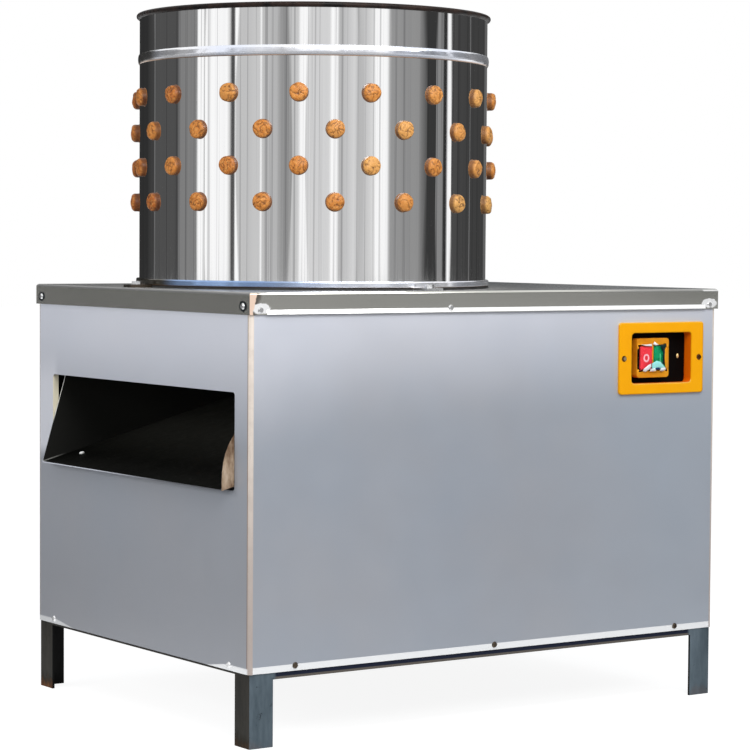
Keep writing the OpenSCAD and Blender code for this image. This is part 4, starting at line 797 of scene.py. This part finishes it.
def zinc_steel():
    """Bright zinc; the switch flange's screws are tan with painted shade at the rim and brown, the front foot
    screws and left lug dark.
    """
    material, g, out = new_material("zinc_steel", Metallic=1.0)
    tone = g.noise(45.0, 3.0)
    x, y, z = g.axis("X"), g.axis("Y"), g.axis("Z")
    flange = g.times(g.within(z, *FLANGE_SCREW_Z), g.band(x, *FLANGE_FROM_X))
    middle = front_middle(*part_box("switch_box"), 0.0)
    distance = g.reach(g.minus(x, middle.x - FLANGE_SCREW_X), g.minus(z, middle.z))
    # The left flange screw is tan, with painted shade at its rim
    tan = g.mix(g.band(distance, 2.4 * MM, 3.2 * MM), SCREW_TAN, SCREW_RIM_SHADE)
    colour = g.mix(flange, g.ramp(tone, ZINC_BRIGHT), tan)
    colour = g.mix(g.times(flange, g.band(x, *RIGHT_FROM_X)), colour, SCREW_BROWN)
    foot = g.times(g.fall(z, *FOOT_SCREW_Z), g.fall(y, *FRONT_SCREW_Y))
    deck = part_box("top_cover")[1][2]
    lug = g.within(z, (deck - 0.5 * MM, deck), (deck + 4 * MM, deck + 5 * MM))
    lug = g.times(lug, g.fall(x, *LEFT_LUG_X))
    g.feed(out["Base Color"], g.mix(g.most(foot, lug), colour, ZINC_DARK))
    g.feed(out["Roughness"], g.band(tone, 0.3, 0.7, 0.2, 0.32))
    g.feed(out["Normal"], g.bump(g.noise(400.0, 2.0), 0.03, 0.2 * MM))
    return material


def chute_sheet():
    """Painted shade inside, near black, paler deep inside as painted light; painted highlights on the seam,
    lip and far cheek's edge; the near cheek's outer face is tan with dried dirt.
    """
    material, g, out = new_material("chute_sheet", Specular_IOR_Level=0.05)
    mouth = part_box("feather_chute")[0][0]
    far_y = -CHEEK_Y
    x, y, z = g.axis("X"), g.axis("Y"), g.axis("Z")
    # Painted shade: near black inside and on the far cheek, painted paler deep inside as painted light
    inside_shade = g.ramp(g.noise(12.0, 5.0), CHUTE_INSIDE_SHADE)
    dark = g.mix(g.band(x, mouth + 0.05, mouth + 0.2), inside_shade, CHUTE_DEEP_LIGHT)
    dark = g.mix(g.band(y, far_y - 12 * MM, far_y - 9 * MM), dark, CHUTE_FAR_CHEEK_SHADE)
    dirt = g.noise(35.0, 6.0, 0.7, (1, 1, 0.35))
    near = g.math("LESS_THAN", g.absolute(g.minus(y, CHEEK_Y)), 0.4 * MM)
    near = g.times(g.fall(g.normal("Y"), -0.9, -0.7), near)
    colour = g.mix(near, dark, g.ramp(dirt, CHUTE_DIRT))
    # Painted highlight on the seam where the floor meets the far cheek
    floor = g.plus(g.times(g.minus(x, mouth), CHUTE_RISE), LIP_Z)
    seam_highlight = g.fall(g.absolute(g.minus(z, floor)), 0.5 * MM, 2.2 * MM)
    seam_highlight = g.times(seam_highlight, g.band(y, far_y - 12 * MM, far_y - 10.5 * MM))
    seam_highlight = g.times(seam_highlight, g.fall(x, mouth + 12 * MM, mouth + 45 * MM))
    colour = g.mix(seam_highlight, colour, CHUTE_SEAM_HIGHLIGHT)
    # Painted highlights on the edges that face out of the mouth: the lip and the top of the far cheek's edge
    edge = g.fall(g.normal("X"), -0.97, -0.9)
    lip = g.times(edge, g.band(z, LIP_Z + MM, LIP_Z + 3 * MM, 1.0, 0.06), g.band(y, -0.15, 0.15, 0.2, 1.0))
    colour = g.mix(lip, colour, CHUTE_LIP_HIGHLIGHT)
    painted_glint = g.times(edge, g.band(z, *CHEEK_GLINT_Z), g.band(y, far_y - 14 * MM, far_y - 12 * MM))
    g.feed(out["Base Color"], g.mix(painted_glint, colour, CHUTE_GLINT))
    g.feed(out["Roughness"], g.band(dirt, 0.3, 0.7, 0.5, 0.75))
    g.feed(out["Normal"], g.bump(dirt, 0.12, 0.5 * MM))
    return material


def finger_rubber():
    """Tan natural rubber: each finger has its own tone, paler towards some headings as painted light, with
    painted shade in its creases and on its flanks.
    """
    material, g, out = new_material("finger_rubber", Specular_IOR_Level=0.35)
    # Each finger's tone, paler by heading as painted light, and its painted shade
    tone, painted_shade = (g.add("Attribute", attribute_name=name).outputs["Fac"] for name in ("tone", "painted_shade"))
    marble = g.noise(260.0, 5.0, 0.65)
    light = g.mix(g.band(marble, 0.4, 0.75, 0.0, 0.5), g.ramp(tone, FINGER_TONES), FINGER_MARBLE)
    g.feed(out["Base Color"], g.mix(painted_shade, light, FINGER_PAINTED_SHADE))
    g.feed(out["Roughness"], g.band(marble, 0.3, 0.7, 0.38, 0.6))
    g.feed(out["Normal"], g.bump(marble, 0.3, 0.6 * MM))
    return material


def plain_material(name, metallic, specular, tone, colours, rough, grain, gloss=None):
    """A mottled colour with an uneven gloss, and grain where it is given."""
    material, g, out = new_material(name, Metallic=metallic, Specular_IOR_Level=specular)
    tone = g.noise(*tone)
    g.feed(out["Base Color"], g.ramp(tone, colours))
    g.feed(out["Roughness"], g.band(g.noise(*gloss) if gloss else tone, 0.3, 0.7, *rough))
    if grain:
        texture, strength, depth = grain
        g.feed(out["Normal"], g.bump(g.noise(*texture), strength, depth))
    return material


def mould_finish(g, out, rough, edge):
    """Soft edges, fine spark texture and a slightly uneven gloss."""
    g.feed(out["Roughness"], g.band(g.noise(90.0), 0.3, 0.7, rough, rough + 0.14))
    g.feed(out["Normal"], g.bump(g.noise(1500.0, 2.0), 0.05, 0.2 * MM, edge))


def moulded_plastic(name, dark, light, rough, specular):
    material, g, out = new_material(name, Specular_IOR_Level=specular)
    g.feed(out["Base Color"], g.ramp(g.noise(25.0), [(0.3, dark), (0.7, light)]))
    mould_finish(g, out, rough, g.soft_edges(1.5 * MM))
    return material


def switch_yellow():
    """Yellow moulded box: bright flange, a painted highlight on its upper edges, painted shade in burnt orange
    on the walls inside the recess.
    """
    material, g, out = new_material("switch_yellow", Specular_IOR_Level=0.1)
    low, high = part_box("switch_box")
    middle = front_middle(low, high, low[1])
    edge = g.soft_edges(3.5 * MM)
    upward = g.add("SeparateXYZ", {"Vector": edge}).outputs["Z"]
    # Painted highlight on the edges that face up
    face = g.mix(g.band(upward, 0.08, 0.5, 0.0, 0.8), g.ramp(g.noise(25.0), YELLOW_FACE), YELLOW_EDGE_HIGHLIGHT)
    across, upright = g.absolute(g.minus(g.axis("X"), middle.x)), g.absolute(g.minus(g.axis("Z"), middle.z))
    # Painted shade: burnt orange on the walls inside the recess
    recess = g.band(g.axis("Y"), low[1] + 0.8 * MM, low[1] + 2.5 * MM)
    recess = g.times(recess, g.fall(across, 62.5 * MM, 63 * MM), g.fall(upright, 40.5 * MM, 41 * MM))
    g.feed(out["Base Color"], g.mix(recess, face, YELLOW_RECESS_SHADE))
    mould_finish(g, out, 0.3, edge)
    return material


def clear_film():
    material, g, out = new_material("clear_film", Transmission_Weight=1.0, IOR=1.04, Base_Color=FILM_CLEAR)
    wrinkle = g.noise(110.0, 3.0)
    g.feed(out["Roughness"], g.band(wrinkle, 0.3, 0.7, 0.0, 0.03))
    g.feed(out["Normal"], g.bump(wrinkle, 0.2, 1.0 * MM))
    return material


def make_materials():
    made = [panel_sheet, cover_sheet, drum_stainless, ring_steel, frame_steel, zinc_steel, chute_sheet]
    made += [finger_rubber, switch_yellow, clear_film]
    materials = {make.__name__: make() for make in made}
    materials |= {name: plain_material(name, *looks) for name, *looks in PLAIN}
    materials |= {name: moulded_plastic(name, *looks) for name, *looks in PLASTICS}
    return materials


def dress_cad_nodes(materials):
    for part in frame["record"]["subparts"]:
        mesh = nodes[part["node"]].data
        mesh.materials.clear()
        mesh.materials.append(materials[part["material_slot"]])
    for name in ("drum_hoop", "base_ring"):
        nodes[name].data.materials[0] = materials["ring_steel"]


# Pieces

def add_piece(name, bm, material, body, smooth=True):
    mesh = bpy.data.meshes.new(name)
    bmesh.ops.recalc_face_normals(bm, faces=bm.faces)
    bm.to_mesh(mesh)
    bm.free()
    for face in mesh.polygons:
        face.use_smooth = smooth
    mesh.materials.append(material)
    piece = bpy.data.objects.new(name, mesh)
    bpy.context.scene.collection.objects.link(piece)
    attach(piece, body)
    return piece


def join_loops(bm, loops, closed=False):
    """Faces between each loop of vertices and the next; closed also joins the last to the first."""
    for first, second in zip(loops, loops[1:] + loops[:1] if closed else loops[1:]):
        for i in range(len(first)):
            j = (i + 1) % len(first)
            bm.faces.new((first[i], first[j], second[j], second[i]))


def cap_ends(bm, loops):
    bm.faces.new(loops[0][::-1])
    bm.faces.new(loops[-1])


def smooth_step(value, low, high):
    t = min(1.0, max(0.0, (value - low) / (high - low)))
    return t * t * (3 - 2 * t)


def finger_profile(grip):
    """Rings of a finger as (distance along the axis, radius): head end first, tip last."""
    head_r, edge, top = HEAD_D / 2, HEAD_EDGE, -HEAD_H
    flat = head_r - edge
    rings = [(top + HEAD_CROWN * share ** 2, share * flat) for share in FACE_RINGS]
    for step in range(1, EDGE_STEPS + 1):
        a = math.radians(-90 + 90 * step / EDGE_STEPS)
        rings.append((top + HEAD_CROWN + edge * (1 + math.sin(a)), flat + edge * math.cos(a)))
    rings += [(along, head_r + swell) for along, swell in FLANK_RINGS]
    neck = FINGER_NECK_D / 2
    rings += [(0.0, neck), (grip, neck), (grip, FINGER_ROOT_D / 2 - RIB_DEPTH)]
    pitch = FINGER_LEN / FINGER_RIBS
    for rib in range(FINGER_RIBS):
        r = (FINGER_ROOT_D + (FINGER_TIP_D - FINGER_ROOT_D) * rib / FINGER_RIBS) / 2
        start = grip + rib * pitch
        rings += [(start + share * pitch, r - depth) for share, depth in RIB_RINGS]
    tip = FINGER_TIP_D / 2 - RIB_DEPTH
    return rings + [(grip + FINGER_LEN + along, tip - depth) for along, depth in TIP_RINGS]


def add_finger(bm, layers, place, grip, seed, light):
    """One finger with a wrinkled, lumpy head and its own tone; light is the share of the pale tone, painted
    light; wrinkles, lumps and flanks get painted shade.
    """
    rng = random.Random(seed)
    lobes = [(n, rng.uniform(*LOBE_SIZE), rng.uniform(0, 2 * math.pi)) for n in LOBES]
    tone = 0.5 * rng.random() + 0.5 * light
    offset = Vector([rng.uniform(0, NOISE_REACH) for _ in range(3)])
    rows = []
    for along, radius in finger_profile(grip):
        row = []
        for a in turn(FINGER_SEGMENTS):
            r, z, painted_shade = radius, along, 0.0
            if along < -0.1 * MM:
                r -= radius * sum(size * (1 + math.sin(n * a + phase)) for n, size, phase in lobes) * 0.5
                spot = Vector((*polar(r, a), along))
                wrinkle = noise.noise(offset + spot * WRINKLE_SCALE)
                lump = noise.noise(offset + spot * LUMP_SCALE)
                face = smooth_step(-along, *HEAD_FACE)
                ridge = max(0.0, 1 - abs(wrinkle) / WRINKLE_WIDTH) * face
                z += WRINKLE_DEPTH * ridge + LUMP_DEPTH * lump * face
                # Painted shade on the wrinkles, the lumps and the flanks
                painted_shade = min(1.0, 0.85 * ridge + 0.25 * max(0.0, lump) + 0.8 * (1 - face))
            row.append(bm.verts.new(place @ Vector((*polar(r, a), z))))
            row[-1][layers[0]] = tone
            row[-1][layers[1]] = painted_shade
        rows.append(row)
    join_loops(bm, rows)
    cap_ends(bm, rows)


def new_finger_mesh():
    bm = bmesh.new()
    return bm, [bm.verts.layers.float.new(name) for name in ("tone", "painted_shade")]


def add_wall_fingers(material):
    x, y, radius = drum_axis()
    outwards = Matrix.Translation((radius + FINGER_GAP, 0, 0)) @ Matrix.Rotation(-math.pi / 2, 4, "Y")
    for row in range(1, WALL_ROWS + 1):
        node = f"wall_fingers_row_{row}"
        low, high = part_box(node)
        middle = Matrix.Translation((x, y, (low[2] + high[2]) / 2))
        bm, layers = new_finger_mesh()
        for i in range(FINGERS_PER_ROW):
            angle = FINGER_PHASE - (row % 2) * ROW_STAGGER + i * 360 / FINGERS_PER_ROW
            place = middle @ Matrix.Rotation(math.radians(angle), 4, "Z") @ outwards
            # Painted light: the heads turn paler across these headings
            pale = smooth_step(angle % 360, *PAINTED_LIGHT_HEADINGS)
            add_finger(bm, layers, place, WALL_GRIP, ROW_SEED * row + i, pale)
        piece = add_piece(f"rubber_{node}", bm, material, "cabinet")
        piece.visible_glossy = False
        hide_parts(node)


def add_plate_fingers(material):
    x, y, _ = drum_axis()
    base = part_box("feather_plate")[0][2] - FINGER_GAP
    bm, layers = new_finger_mesh()
    for ring, (radius, count) in enumerate(PLATE_RINGS):
        for i, a in enumerate(turn(count)):
            across, along = polar(radius, a)
            place = Matrix.Translation((x + across, y + along, base))
            # The plate's heads share the painted light
            add_finger(bm, layers, place, PLATE_GRIP, PLATE_SEED + ROW_SEED * ring + i, PLATE_PAINTED_LIGHT)
    piece = add_piece("rubber_plate_fingers", bm, material, "plate_rotor")
    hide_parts("plate_fingers")


def ring_mark(bm, centre):
    """A raised oval ring on a face that looks along -Y."""
    loops = []
    top = -MARK_DEPTH
    for (rx, rz), y in ((RING_OUTER, 0.0), (RING_OUTER, top), (RING_INNER, top), (RING_INNER, 0.0)):
        places = [Vector((rx * math.cos(a), y, rz * math.sin(a))) for a in turn(RING_SEGMENTS)]
        loops.append([bm.verts.new(centre + place) for place in places])
    join_loops(bm, loops, closed=True)


def bar_mark(bm, centre):
    """A raised bar with chamfered edges on a face that looks along -Y."""
    loops = []
    for inset, y in ((0.0, 0.0), (0.0, BAR_CHAMFER - MARK_DEPTH), (BAR_CHAMFER, -MARK_DEPTH)):
        w, h = (half - inset for half in BAR_HALF)
        corners = [(-w, -h), (w, -h), (w, h), (-w, h)]
        loops.append([bm.verts.new(centre + Vector((dx, y, dz))) for dx, dz in corners])
    join_loops(bm, loops)
    cap_ends(bm, loops)


def add_button_marks(materials):
    for node, (slot, colour) in MARKS.items():
        low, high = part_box(node)
        bm = bmesh.new()
        draw = ring_mark if node == "stop_button" else bar_mark
        draw(bm, front_middle(low, high, low[1]))
        add_piece(f"{node}_mark", bm, materials[colour], node, smooth=False)


def button_field():
    """Lowest and highest corner of both buttons, and the switch's face behind them."""
    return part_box("stop_button")[0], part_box("start_button")[1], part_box("switch_body")[0][1]


def film_rise(u, v):
    """How far the film stands out, in metres, at a place from -1 to 1 across and up."""
    swell = (1 - abs(u) ** 5) * (1 - abs(v) ** 5)
    fold = noise.noise(Vector((u * 2.4, v * 2.0, 3.7))) * (1 - abs(u) ** 3) * (1 - abs(v) ** 3)
    sag = FILM_SAG * swell * max(0.0, FILM_SAG_FROM - v)
    return FILM_SWELL * swell + FILM_FOLD * fold + sag


def add_film(materials):
    """The clear boot over both buttons, slack and wrinkled, with folds coloured as painted reflections and
    glare.
    """
    low, high, face = button_field()
    x0, x1 = low[0] - FILM_MARGIN, high[0] + FILM_MARGIN
    z0, z1 = low[2] - FILM_MARGIN, high[2] + FILM_MARGIN
    bm = bmesh.new()
    grid = []
    for r in range(FILM_ROWS + 1):
        line = []
        for c in range(FILM_COLUMNS + 1):
            rise = film_rise(2 * c / FILM_COLUMNS - 1, 2 * r / FILM_ROWS - 1)
            x, z = x0 + (x1 - x0) * c / FILM_COLUMNS, z0 + (z1 - z0) * r / FILM_ROWS
            line.append(bm.verts.new((x, face - FILM_STAND - rise, z)))
        grid.append(line)
    for first, second in zip(grid, grid[1:]):
        for c in range(FILM_COLUMNS):
            bm.faces.new((first[c], first[c + 1], second[c + 1], second[c]))
    film = add_piece("button_film", bm, materials["clear_film"], "cabinet")
    shell = film.modifiers.new("film_thickness", "SOLIDIFY")
    shell.thickness = FILM_THICKNESS
    shell.offset = 0.0
    middle = front_middle(low, high, face)
    # Folds coloured as painted reflections and glare
    for number, (colour, corners) in enumerate(FILM_GLARE_FOLDS):
        add_film_glare_fold(f"film_glare_fold_{number}", middle, corners, materials[colour])


def add_film_glare_fold(name, middle, corners, material):
    """A crumpled flap coloured as a painted reflection: its rim is drawn in behind a raised middle."""
    bm = bmesh.new()
    cx, cz = (sum(corner[axis] for corner in corners) / len(corners) for axis in (0, 1))
    crown = max(depth for _, _, depth in corners) + FOLD_CROWN
    loops = []
    for share, lift in FOLD_LOOPS:
        loop = []
        for x, z, depth in corners:
            spread = Vector((cx + (x - cx) * share, 0, cz + (z - cz) * share)) * MM
            rise = (crown - depth) * (1 - share) + depth + lift
            loop.append(bm.verts.new(middle + spread + Vector((0, -rise * FOLD_STEP, 0))))
        loops.append(loop)
    join_loops(bm, loops)
    cap_ends(bm, loops)
    add_piece(name, bm, material, "cabinet", smooth=False)


def add_surround(material):
    """The dark wavy seal round the buttons, under the edge of the film."""
    low, high, face = button_field()
    half_w, half_h = (high[0] - low[0]) / 2, (high[2] - low[2]) / 2
    centre = front_middle(low, high, face)
    outer = (SEAL_UPRIGHT, SEAL_OUTER_CORNER, SEAL_WAVES)
    inner = (1.0, SEAL_INNER_CORNER, [])
    rings = [(SEAL_BORDER, -SEAL_FOOT, outer), (SEAL_BORDER - SEAL_CHAMFER, -SEAL_DEPTH, outer)]
    rings += [(SEAL_GAP, -SEAL_DEPTH, inner), (SEAL_GAP, -SEAL_FOOT, inner)]
    bm = bmesh.new()
    loops = []
    for grow, y, (upright, corner, waves) in rings:
        loop = []
        for a in turn(SEAL_SEGMENTS):
            wave = sum(size * math.sin(n * a + phase) for n, size, phase in waves)
            across, up = (math.copysign(abs(part) ** (2 / corner), part) for part in polar(1.0, a))
            dx, dz = across * (half_w + grow + wave), up * (half_h + upright * grow + wave)
            loop.append(bm.verts.new(centre + Vector((dx, y, dz))))
        loops.append(loop)
    join_loops(bm, loops, closed=True)
    add_piece("button_surround", bm, material, "cabinet")


def add_head(name, place, rings, material):
    """A round head turned about its own Z axis, closed at both ends."""
    bm = bmesh.new()
    loops = []
    for r, z in rings:
        points = [Vector((*polar(r * MM, a), z * MM)) for a in turn(BOLT_SEGMENTS)]
        loops.append([bm.verts.new(place @ point) for point in points])
    join_loops(bm, loops)
    cap_ends(bm, loops)
    add_piece(name, bm, material, "cabinet")


def add_small_heads(materials):
    """The brass screw on the switch's back plate and the bolt head on the chute's floor."""
    x, z = BRASS_AT
    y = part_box("switch_back_plate")[0][1]
    place = Matrix.Translation((x, y, z)) @ Matrix.Rotation(math.pi / 2, 4, "X")
    stretch = Matrix.Diagonal((1.0, BRASS_STRETCH, 1.0, 1.0))
    add_head("plate_screw", place @ stretch, BRASS_RINGS, materials["brass_screw"])
    place = Matrix.Translation(CHUTE_BOLT_AT) @ Matrix.Rotation(-math.atan(CHUTE_RISE), 4, "Y")
    add_head("chute_bolt", place, BOLT_RINGS, materials["bolt_paint"])


bpy.context.scene.view_settings.view_transform = "Standard"
add_camera()
light_world()
add_floor()
add_wall("studio_cards", WALL_CARDS, WALL_SPLIT, WALL_TOP)
add_wall("studio_low_cards", LOW_CARDS, WALL_BOTTOM, WALL_SPLIT)
add_ground_cards()
for lamp in LAMPS:
    add_lamp(*lamp)
materials = make_materials()
dress_cad_nodes(materials)
add_wall_fingers(materials["finger_rubber"])
add_plate_fingers(materials["finger_rubber"])
add_button_marks(materials)
add_surround(materials["dark_plastic"])
add_film(materials)
add_small_heads(materials)
